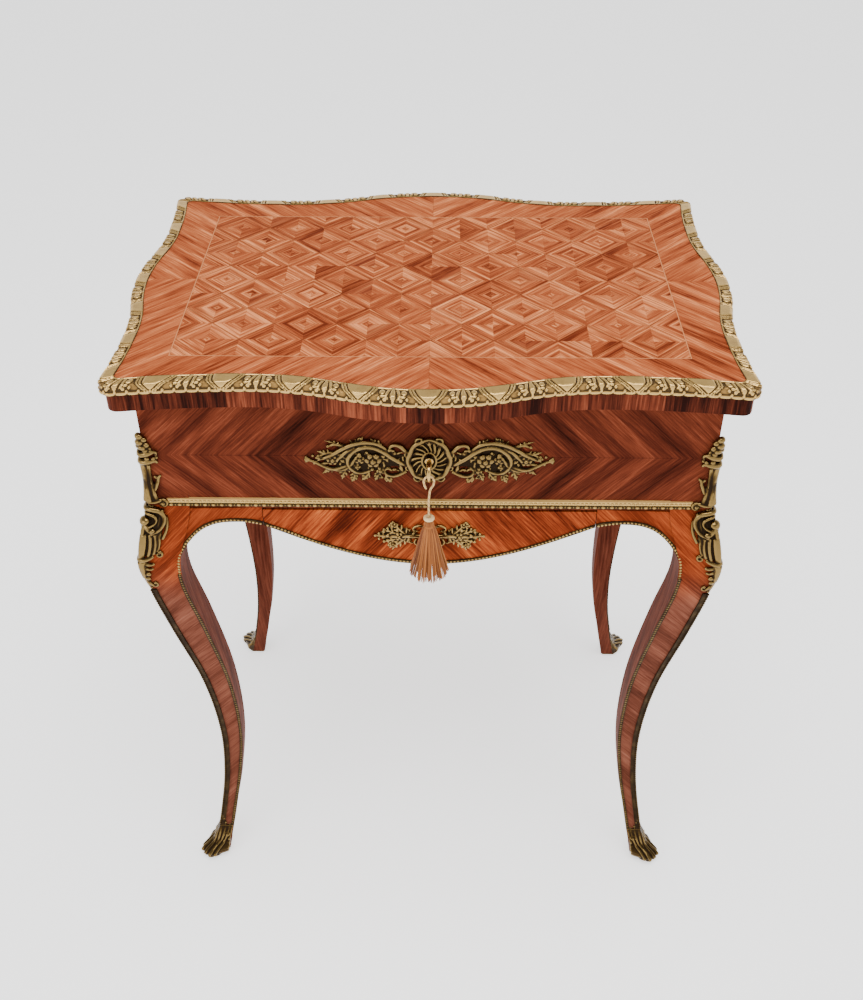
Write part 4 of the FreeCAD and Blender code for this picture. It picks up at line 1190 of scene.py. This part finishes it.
keyMountSet = {
    "centre": 627.0, "voxel": 0.62, "keepFaces": 46000, "stemThick": 1.16, "flutes": 17,
    "dish": (20.5, 3.0, 24.5), "ground": (60, 0, 44, 15), "curls": (58, 0, 34, 10, 44),
    "stems": [
        [(20, 6, 1.5, 2.0), (25, 15, 2.4, 2.1), (32, 19, 2.4, 1.9), (38, 16, 2.0, 1.6), (37, 11, 1.8, 1.4),
         (33, 11, 1.8, 1.3)],
        [(22, -6, 1.5, 2.0), (33, 0, 2.2, 2.2), (45, 12, 2.6, 2.3), (60, 17, 2.8, 2.3), (74, 11, 2.6, 2.1),
         (80, -2, 2.4, 2.0), (74, -14, 2.2, 1.8), (62, -16, 2.0, 1.5), (55, -11, 1.8, 1.2)],
        [(78, -6, 1.8, 1.9), (90, -12, 2.2, 1.9), (102, -8, 2.0, 1.6), (113, -1, 1.6, 1.3),
         (119, 0, 1.4, 1.2)],
        [(72, 11, 1.8, 1.8), (82, 17, 2.2, 1.7), (92, 19, 2.0, 1.3), (97, 15, 1.8, 1.0)],
        [(22, -13, 1.5, 1.9), (31, -19, 2.2, 1.9), (41, -18, 2.2, 1.6), (44, -12, 2.0, 1.3),
         (39, -9, 1.8, 1.2), (36, -13, 1.6, 1.1)],
        [(80, 2, 1.6, 1.6), (88, 8, 2.2, 1.6), (97, 9, 2.0, 1.2), (104, 5, 1.6, 0.9)],
        [(30, 2, 1.4, 1.5), (27, -8, 1.8, 1.5), (25, -16, 1.6, 1.3)],
        [(116, 0, 1.2, 1.6), (119.5, 3.5, 1.4, 1.0)],
        [(116, 0, 1.2, 1.6), (119.5, -3.5, 1.4, 1.0)],
        [(106, 0, 1.6, 1.3), (96, 4, 2.4, 1.8), (86, 12, 2.6, 2.0), (74, 19, 2.8, 2.2), (60, 22, 2.8, 2.2),
         (48, 19, 2.4, 1.9), (40, 11, 2.0, 1.6), (37, 3, 1.8, 1.3)],
        [(104, -5, 1.4, 1.2), (94, -3, 2.2, 1.6), (86, 3, 2.4, 1.8), (80, 10, 2.4, 1.8),
         (71, 15, 2.4, 1.7)],
        [(100, -11, 1.4, 1.2), (88, -13, 2.0, 1.7), (78, -9, 2.2, 1.8), (72, 0, 2.2, 1.7),
         (66, 8, 2.0, 1.4)],
    ],
    "leaves": [
        ((46, 13), (56, 25), 5.0, 3, 1.7, 1.6, 1.5), ((62, 16), (76, 23), 5.0, 3, 1.5, 1.6, -1.5),
        ((79, -8), (85, -24), 6.0, 3, 1.8, 1.6, 1.0), ((58, -15), (66, -25), 5.0, 3, 1.6, 1.6, 0.0),
        ((92, -11), (104, -17), 4.0, 3, 1.4, 1.4, 1.0), ((84, 16), (100, 22), 3.6, 3, 1.2, 1.4, 1.0),
        ((36, 6), (31, 8), 3.0, 2, 1.2, 1.2), ((70, 18), (63, 27), 5.0, 3, 1.5, 1.6, 1.0),
        ((72, -15), (76, -27), 5.0, 3, 1.6, 1.6, -1.0), ((42, -18), (36, -27), 5.0, 3, 1.6, 1.6, 1.0),
        ((48, -14), (53, -25), 4.6, 3, 1.5, 1.6, 0.0), ((94, 8), (108, 10), 4.0, 3, 1.4, 1.5, -1.0),
        ((88, -2), (100, -4), 4.4, 3, 1.4, 1.7, 0.5),
    ],
    "flowers": [
        (54, 0, 8.6, 6, 2.0), (67, 1, 5.6, 5, 2.0, 0.4), (93, 0, 6.2, 6, 1.8), (47, -13, 4.6, 5, 1.8),
        (106, 2, 4.0, 5, 1.4), (70, -8, 4.2, 5, 1.8, 0.7),
    ],
    "berries": [
        (38, 12, 2.4, 2.0), (70, 21, 2.0, 1.9), (97, 16, 2.0, 1.8), (55, -11, 2.2, 1.9),
        (34, -11, 2.0, 1.8), (112, 4.4, 1.4, 1.7), (111, -4.6, 1.4, 1.7), (119, 0, 1.4, 2.0),
        (62, -21, 1.6, 1.7), (44, 4, 1.8, 1.8), (60, 9, 2.0, 1.8), (79, 9, 1.8, 1.6), (86, -5, 1.8, 1.6),
        (100, -13, 1.4, 1.4), (46, -21, 1.4, 1.6),
    ],
}


def makeKeyMount():
    strokes, balls = wings(keyMountSet)
    # cartouche: two C-scrolls round a fluted shell
    scroll = []
    for k in range(25):
        angle = math.radians(98 - 190 * k / 24)
        wave = 1 + 0.025 * math.cos(8 * angle)
        thick = 1.7 + 0.9 * math.sin(math.pi * k / 24)
        scroll.append((20.0 * wave * math.cos(angle), 1 + 23.5 * wave * math.sin(angle), 3.4, thick))
    strokes += mirrored([scroll, volute(9, 23.0, 4.6, 1.4, 250, 1, 1.6, 3.0),
                         volute(10.5, -20.5, 5.0, 1.4, 110, -1, 1.7, 3.0),
                         volute(20.5, 8, 4.0, 1.2, 200, 1, 1.4, 3.2),
                         volute(20, -9, 3.6, 1.2, 160, -1, 1.3, 3.2)])
    for k in range(keyMountSet["flutes"]):
        angle = 2 * math.pi * (k + 0.5) / keyMountSet["flutes"]
        thick = 1.5 + 0.45 * math.sin(3 * angle)
        path = []
        for t, share in ((0.0, 0.55), (0.4, 1.0), (1.0, 0.85)):
            turn = angle + 0.42 * t * t
            across, up = (7.4 + 11.2 * t) * math.cos(turn), 1 + (10.4 + 11.6 * t) * math.sin(turn)
            path.append((across, up, 4.4 - 1.6 * t, thick * share))
        strokes.append(path)
    turns = [k * math.pi / 16 for k in range(33)]
    ring = [(6.8 * math.cos(turn), 1 + 9.6 * math.sin(turn), 4.7, 1.2) for turn in turns]
    strokes.append(ring)
    strokes += leafSpray((0, 19), (0, 27), 6, 3, 2.0, 2.8) + leafSpray((0, -18), (0, -26), 7, 3, 2.0, 2.8)
    # dish behind the rays
    clearPick()
    bpy.ops.mesh.primitive_uv_sphere_add(segments=40, ring_count=20, radius=1.0)
    dish = bpy.context.object
    putPlaces(dish, placesOf(dish) * np.array(keyMountSet["dish"]) * mm + np.array((0, 0, 1)) * mm)
    piece = fused("keyholeMount", strokes, balls, keyMountSet["voxel"], keyMountSet["keepFaces"], [dish])
    layFlat(piece, keyMountSet["centre"])
    return finishCasting(piece, mountGilt, "keyhole_mount", "case")


drawerMountSet = {
    "centre": 532.5, "voxel": 0.5, "keepFaces": 26000, "stemThick": 1.0,
    "ground": (32, 0, 20, 12), "curls": (33, 0, 14, 8, 12),
    "stems": [
        [(0, 6, 1.4, 1.6), (5, 12, 1.8, 1.7), (12, 14, 2.0, 1.6), (17, 10, 1.8, 1.4), (15, 5, 1.6, 1.2),
         (11, 6, 1.6, 1.1)],
        [(0, -5, 1.4, 1.6), (5, -11, 1.8, 1.6), (12, -12, 2.0, 1.5), (16, -8, 1.8, 1.3),
         (13, -4, 1.6, 1.1)],
        [(4, 0, 1.4, 2.2), (14, 0, 2.0, 2.2), (26, 1, 2.6, 2.6), (40, 0, 2.4, 2.2), (55, 0, 1.2, 1.0)],
    ],
    "leaves": [
        ((22, 1), (37, 19), 7, 3, 1.9, 1.8, -1), ((24, -2), (38, -18), 7, 3, 1.9, 1.8, 1),
        ((30, 2), (47, 9), 5, 3, 1.6, 1.8), ((30, -2), (47, -8), 5, 3, 1.6, 1.8),
        ((20, 3), (24, 9), 4, 2, 1.3, 1.4), ((20, -3), (24, -9), 4, 2, 1.3, 1.4),
    ],
    "flowers": [(37, 14, 4.4, 5, 2.0), (39, -12, 3.8, 5, 2.0), (30, 0, 5.4, 6, 2.6)],
    "berries": [
        (46, 6, 2.0, 2.0), (51, 3, 1.6, 1.7), (55, 0, 1.4, 1.7), (51, -4, 1.6, 1.7), (46, -7, 2.0, 1.8),
        (32, 9, 2.0, 1.8), (42, 10, 1.8, 1.7), (33, -9, 2.0, 1.7), (16, 3, 1.8, 1.8), (42, 1, 2.4, 2.2),
    ],
}


def makeDrawerMount():
    strokes, balls = wings(drawerMountSet)
    strokes.append([(0, -14, 1.4, 1.4), (0, 0, 2.4, 3.4), (0, 15, 1.4, 1.4)])
    piece = fused("drawerMount", strokes, balls, drawerMountSet["voxel"], drawerMountSet["keepFaces"])
    layFlat(piece, drawerMountSet["centre"])
    return finishCasting(piece, drawerGilt, "drawer_mount", "drawer")


keyMount = makeKeyMount()
drawerMount = makeDrawerMount()
print("front mounts made:", len(keyMount.data.polygons), len(drawerMount.data.polygons), "faces")


def roundCorner(piece, heights, reaches, signX, signY, roundness):
    # a flat drawing bent round a leg's outer corner: across runs over both faces, up is the height
    places = placesOf(piece) / mm
    across, out, up = places[:, 0], -places[:, 1], places[:, 2]
    reach = np.interp(up, heights, reaches)
    soft = np.sqrt(across**2 + roundness**2)
    inX, inY = (soft - across) / 2, (soft + across) / 2
    angle = math.pi / 4 - math.pi / 4 * np.tanh(across / 6.0)
    lift = np.maximum(out, -0.6)
    x = legSet["halfWide"] + reach - inX + lift * np.cos(angle)
    y = legSet["halfDeep"] + reach - inY + lift * np.sin(angle)
    putPlaces(piece, np.stack([signX * x, signY * y, up], 1) * mm)
    if signX * signY < 0:
        piece.data.flip_normals()
    return piece


def cornerDrawing():
    strokes, balls = [], []
    # bud
    balls += [(0, 653, 3.0, 3.2), (3.4, 649.5, 2.4, 2.5), (0, 646.5, 3.6, 3.2), (4.6, 643.5, 2.4, 2.6),
              (1.9, 641, 3.6, 2.8), (6.0, 639, 2.0, 2.0), (3.6, 637.5, 3.0, 2.4)]
    # two ruffled collars
    strokes += [
        [(0, 632, 4.2, 2.6), (5, 634, 3.6, 2.4), (9, 636, 2.2, 1.9), (11.5, 633, 1.4, 1.5),
         (9.5, 630, 1.4, 1.3)],
        [(0, 624, 4.4, 2.8), (5, 624.5, 3.6, 2.5), (9, 626, 2.2, 1.9), (10.5, 622, 1.4, 1.5)],
    ]
    balls += [(7, 636.6, 2.8, 1.8), (10.4, 634.6, 2.0, 1.7), (8.0, 627.6, 2.6, 1.8), (4, 628.6, 3.8, 1.8),
              (10.6, 628.4, 1.6, 1.5)]
    # fluted stem with leaf tips
    strokes += [
        [(0, 624, 2.6, 4.0), (0, 610, 2.6, 3.2), (0, 594, 2.4, 3.4), (0, 578, 2.8, 4.6)],
        [(3.6, 620, 2.6, 1.6), (3.0, 606, 2.8, 1.4), (3.8, 592, 2.6, 1.5), (6.5, 578, 2.2, 1.8)],
        [(1.2, 620, 4.4, 1.0), (1.0, 604, 4.4, 1.0), (1.4, 590, 4.4, 1.1), (2.4, 578, 4.8, 1.4)],
        [(5.5, 590, 1.6, 2.0), (8.2, 598, 1.6, 1.9), (9.0, 605, 1.6, 1.5), (11.8, 607, 1.4, 1.0)],
        [(8.6, 603, 1.6, 1.4), (5.8, 606, 1.8, 1.0)],
    ]
    # volutes at the waist
    strokes += [volute(11.5, 574, 4.6, 1.4, 150, -1, 1.7, 1.8)]
    strokes += [[(1, 577, 4.0, 1.8), (6, 575.5, 3.2, 1.8), (10, 578.5, 2.2, 1.6)]]
    balls += [(11.5, 574, 2.4, 1.9)]
    # shell between C-scrolls
    strokes += [
        [(0, 569, 4.8, 2.0), (7, 568, 3.8, 2.1), (13, 562, 2.6, 2.1), (15, 553, 2.2, 2.0),
         (12, 544, 2.2, 1.7), (7, 543, 2.8, 1.4)],
        [(0, 563.5, 4.4, 1.2), (4.8, 562, 3.8, 1.2), (8, 557, 3.2, 1.2), (7, 551.5, 3.2, 1.2),
         (3.5, 549.5, 3.8, 1.1)],
        [(0, 551, 3.4, 1.8), (4, 547, 3.4, 2.4), (7.5, 541, 2.4, 1.4)],
        [(0, 549, 3.8, 1.8), (0, 543, 4.0, 2.2), (0, 537, 3.6, 1.2)],
        [(14.5, 560, 1.4, 1.6), (17.5, 552, 1.2, 1.7), (18.5, 543, 1.2, 1.6), (16, 535, 1.2, 1.4)],
    ]
    balls += [(0, 556, 5.2, 3.6), (6.5, 545.5, 3.4, 2.2), (11, 566, 2.6, 1.6)]
    # ground of the shell and the leaf
    for across in (1.5, 4.5, 7.5, 10.5, 13.0):
        strokes.append([(across * 0.8, 571 - across * 0.4, 0.7, 1.9), (across, 552, 0.6, 2.0),
                        (across, 533, 0.6, 2.0), (across * 0.75, 514 + across * 0.3, 0.6, 1.8)])
    # fluted leaf
    for top, middle, low, thick in (((1.6, 541), (2.6, 527), (1.4, 514), 1.5),
                                    ((5, 541), (7.6, 528), (5.2, 515.5), 1.5),
                                    ((8.8, 540), (11.6, 529), (9.4, 518), 1.4),
                                    ((12.5, 539), (14.8, 530), (12.8, 521), 1.3)):
        out = 3.8 - 0.17 * middle[0]
        strokes.append([(*top, out, thick * 0.9), (*middle, out, thick * 1.1), (*low, out, thick * 0.8)])
    strokes += [[(0, 540, 3.0, 3.0), (0, 526, 3.2, 3.2), (0, 512, 3.0, 2.6)]]
    strokes += [volute(14.2, 517.5, 3.4, 1.2, 100, -1, 1.4, 1.4)]
    # ruffle, tail leaf, berries and curled end
    strokes += [
        [(0, 511.5, 4.6, 2.2), (5, 512.5, 3.4, 2.0), (9.5, 516, 1.8, 1.4)],
        [(0, 509, 3.0, 3.8), (0, 500, 3.0, 3.4), (0, 490, 2.6, 2.6)],
        [(2.6, 507, 2.4, 1.9), (7.2, 503.5, 2.0, 1.7), (10, 506.5, 1.4, 1.1)],
        [(2.4, 501, 2.4, 1.7), (6.0, 497.5, 1.8, 1.5), (8.4, 500, 1.2, 0.9)],
        [(0, 492, 2.6, 2.4), (0, 484, 2.2, 2.0), (0, 475.5, 1.6, 1.4)],
        [(0.6, 485, 2.0, 1.5), (3.0, 479.5, 1.8, 1.4), (6.2, 479, 1.4, 1.2), (7.4, 482.5, 1.2, 1.1),
         (5.4, 484, 1.2, 1.0)],
    ]
    balls += [(4.0, 494.5, 2.6, 2.2), (2.6, 489.5, 2.8, 2.1), (5.6, 483, 1.6, 1.4), (0, 476.5, 1.8, 1.6)]
    return mirrored(strokes), mirrored(balls)


cornerSet = {"across": 1.16, "out": 1.34, "thick": 1.14, "tailFrom": 500.0, "tail": 1.26, "voxel": 0.55,
             "keepFaces": 34000, "round": 2.2}


def enlarged(point):
    across, up, out, thick = point
    if up < cornerSet["tailFrom"]:
        up = cornerSet["tailFrom"] - (cornerSet["tailFrom"] - up) * cornerSet["tail"]
    return across * cornerSet["across"], up, out * cornerSet["out"], thick * cornerSet["thick"]


def copyOf(piece, name):
    twin = bpy.data.objects.new(name, piece.data.copy())
    twin.data.name = name
    bpy.context.scene.collection.objects.link(twin)
    return twin


def makeCornerMounts():
    strokes, balls = cornerDrawing()
    strokes = [[enlarged(point) for point in stroke] for stroke in strokes]
    balls = [enlarged(ball) for ball in balls]
    plain = fused("cornerDrawing", strokes, balls, cornerSet["voxel"], cornerSet["keepFaces"])
    heights = np.linspace(460, 670, 106)
    reaches = legReaches(heights)
    made = []
    for corner, (sx, sy) in corners.items():
        piece = copyOf(plain, corner + "Mount")
        roundCorner(piece, heights, reaches, sx, sy, cornerSet["round"])
        made.append(finishCasting(piece, cornerGilt, corner + "_corner_mount", "case"))
    bpy.data.objects.remove(plain)
    return made


cornerMounts = makeCornerMounts()
print("corner mounts made:", len(cornerMounts[0].data.polygons), "faces each")


sabotSet = {"voxel": 0.5, "keepFaces": 20000, "round": 3.0, "melt": 0.6, "height": 42, "reliefOut": 1.2}


def sabotDrawing():
    strokes, balls = [], []
    # three claws rolled over the toe
    for across, thick in ((0.0, 3.2), (9.0, 2.8), (17.0, 2.3)):
        strokes.append([(across * 0.7, 23, 0.2, thick * 0.6), (across * 0.95, 16, 0.8, thick * 0.9),
                        (across, 9, 1.0, thick), (across, 3.2, 0.4, thick * 0.8)])
    # fluted leaf up the arris, its tips beaded
    for low, top, high, thick in ((0.0, 0.0, 50, 2.0), (4.2, 6.2, 46, 1.7), (8.4, 11.6, 43, 1.6),
                                  (12.6, 16.2, 39, 1.5)):
        middle = (low + top) / 2
        strokes.append([(low, 20, 0.4, thick * 0.8), (middle, 30, 0.9, thick),
                        (top, high, 0.3, thick * 0.75)])
        balls.append((top, high + 0.6, 0.7, thick * 0.95))
    strokes += [volute(14.5, 30.0, 4.2, 1.2, 200, -1, 1.3, 0.5)]
    balls += [(14.5, 30, 0.8, 1.7), (0, 56.5, 0.9, 2.4), (0, 62, 0.8, 2.0), (3.2, 52.5, 0.5, 1.6),
              (18, 24, 0.4, 1.9)]
    return mirrored(strokes), mirrored(balls)


# the square toe of the solid, in metres: rounded and splayed below, drawn in to the leg above
toeSet = {"inset": 0.003, "roundBelow": 0.024, "roundOver": 0.006, "tip": 0.016, "splay": 0.42,
          "splayBelow": 0.020, "splayOver": 0.008, "flankFrom": 0.010, "flankLong": 0.024,
          "flankDeep": 0.022, "pull": 0.8, "pullFrom": 0.026, "pullOver": 0.014, "pullTo": 0.046,
          "pullEnd": 0.004, "gap": 0.0008}


def fade(value, over):
    return np.clip(value / over, 0, 1)


def roundToe(places, signX, signY):
    p = toeSet
    wide, deep = legSet["halfWide"] * mm, legSet["halfDeep"] * mm
    cx, cy = wide - p["inset"], deep - p["inset"]
    z = places[:, 2]
    px = np.clip(signX * places[:, 0] - cx, 0, None)
    py = np.clip(signY * places[:, 1] - cy, 0, None)
    size = (px**3 + py**3)**(1 / 3)
    share = np.where(size > 1e-9, np.maximum(px, py) / np.maximum(size, 1e-9), 1.0)
    share = (1 - share) * fade(p["roundBelow"] - z, p["roundOver"])
    places[:, 0] -= signX * px * share
    places[:, 1] -= signY * py * share
    fromX = np.clip(cx + p["tip"] - signX * places[:, 0], 0, None)
    fromY = np.clip(cy + p["tip"] - signY * places[:, 1], 0, None)
    splay = p["splay"] * fade(p["splayBelow"] - z, p["splayOver"])
    for axis, sign, along, beside in ((1, signY, fromX, fromY), (0, signX, fromY, fromX)):
        flank = np.clip(along - p["flankFrom"], 0, p["flankLong"])
        places[:, axis] -= sign * splay * flank * (1 - fade(beside, p["flankDeep"]))
    heights = np.linspace(0, 70, 71)
    leg = np.interp(z, heights * mm, legReaches(heights) * mm)
    pull = p["pull"] * fade(z - p["pullFrom"], p["pullOver"]) * fade(p["pullTo"] - z, p["pullEnd"])
    for axis, sign, face in ((0, signX, wide), (1, signY, deep)):
        beyond = np.clip(sign * places[:, axis] - face - leg - p["gap"], 0, None)
        places[:, axis] -= sign * beyond * pull
    return places


def makeSabots():
    strokes, balls = sabotDrawing()
    plain = fused("sabotDrawing", strokes, balls, sabotSet["voxel"], sabotSet["keepFaces"])
    heights = np.linspace(0, 90, 91)
    onSabot = np.array([alongStations(legSet["sabot"], h, 1) for h in heights])
    reaches = np.where(heights < sabotSet["height"], onSabot, legReaches(heights) + sabotSet["reliefOut"])
    made = []
    for corner, (sx, sy) in corners.items():
        relief = copyOf(plain, corner + "SabotRelief")
        places = placesOf(relief)
        places[:, 2] = np.maximum(places[:, 2], 0.0003)
        putPlaces(relief, places)
        roundCorner(relief, heights, reaches, sx, sy, sabotSet["round"])
        body = outward(copyOf(nodes[corner + "_sabot"], corner + "SabotBody"))
        piece = joined(corner + "Sabot", [body, relief])
        melted(piece, sabotSet["melt"], 0.5, 3)
        places = roundToe(placesOf(piece), sx, sy)
        places[:, 2] = np.maximum(places[:, 2], 0.0)
        putPlaces(piece, places)
        made.append(finishCasting(piece, darkGilt, corner + "_sabot", "case"))
    bpy.data.objects.remove(plain)
    return made


sabots = makeSabots()
print("sabots made:", len(sabots[0].data.polygons), "faces each")


# studio: a pale floor that runs to a far pale wall, soft light from above and in front
studioSet = {
    "floor": 0.94, "floorGlow": 1.1, "world": 0.55, "wallGlow": 1.75, "wallFar": 60.0, "wallTall": 30.0,
    "aim": (0, 0, 0.55),
    "lights": [("topLight", (0.1, -0.5, 2.6), (1.8, 1.6), 56),
               ("frontLight", (-1.8, -2.0, 1.5), (1.4, 1.4), 17),
               ("sideLight", (2.0, -1.2, 1.5), (1.2, 1.4), 2)],
}


def softLight(name, place, size, power):
    clearPick()
    bpy.ops.object.light_add(type="AREA", location=place)
    lamp = bpy.context.object
    lamp.name = name
    lamp.data.shape = "RECTANGLE"
    lamp.data.size, lamp.data.size_y = size
    lamp.data.energy = power
    lamp.rotation_euler = (Vector(studioSet["aim"]) - Vector(place)).to_track_quat("-Z", "Y").to_euler()


def stageLast(name, shade, rough, shine, glow):
    # finishes the shape just added and takes it as part of the studio
    piece = bpy.context.object
    piece.name = "studio" + name
    finish = Finish("pale" + name).done(Base_Color=(shade,) * 3, Roughness=rough, Specular_IOR_Level=shine,
                                        Emission_Color=(1.0, 1.0, 1.0), Emission_Strength=glow)
    piece.data.materials.append(finish)


def makeStudio():
    p = studioSet
    clearPick()
    bpy.ops.mesh.primitive_plane_add(size=200, location=(0, 0, -0.0005))
    stageLast("Floor", p["floor"], 0.9, 0.1, p["floorGlow"])
    # a far wall as light as the floor, so that no dark horizon shows
    bpy.ops.mesh.primitive_cylinder_add(vertices=96, radius=p["wallFar"], depth=p["wallTall"],
                                        end_fill_type="NOTHING", location=(0, 0, p["wallTall"] / 2 - 0.01))
    stageLast("Wall", 0.0, 1.0, 0.0, p["wallGlow"])
    world = bpy.data.worlds.new("studioWorld")
    world.use_nodes = True
    backdrop = world.node_tree.nodes["Background"]
    backdrop.inputs[0].default_value = (1, 1, 1, 1)
    backdrop.inputs[1].default_value = p["world"]
    bpy.context.scene.world = world
    for light in p["lights"]:
        softLight(*light)


makeStudio()
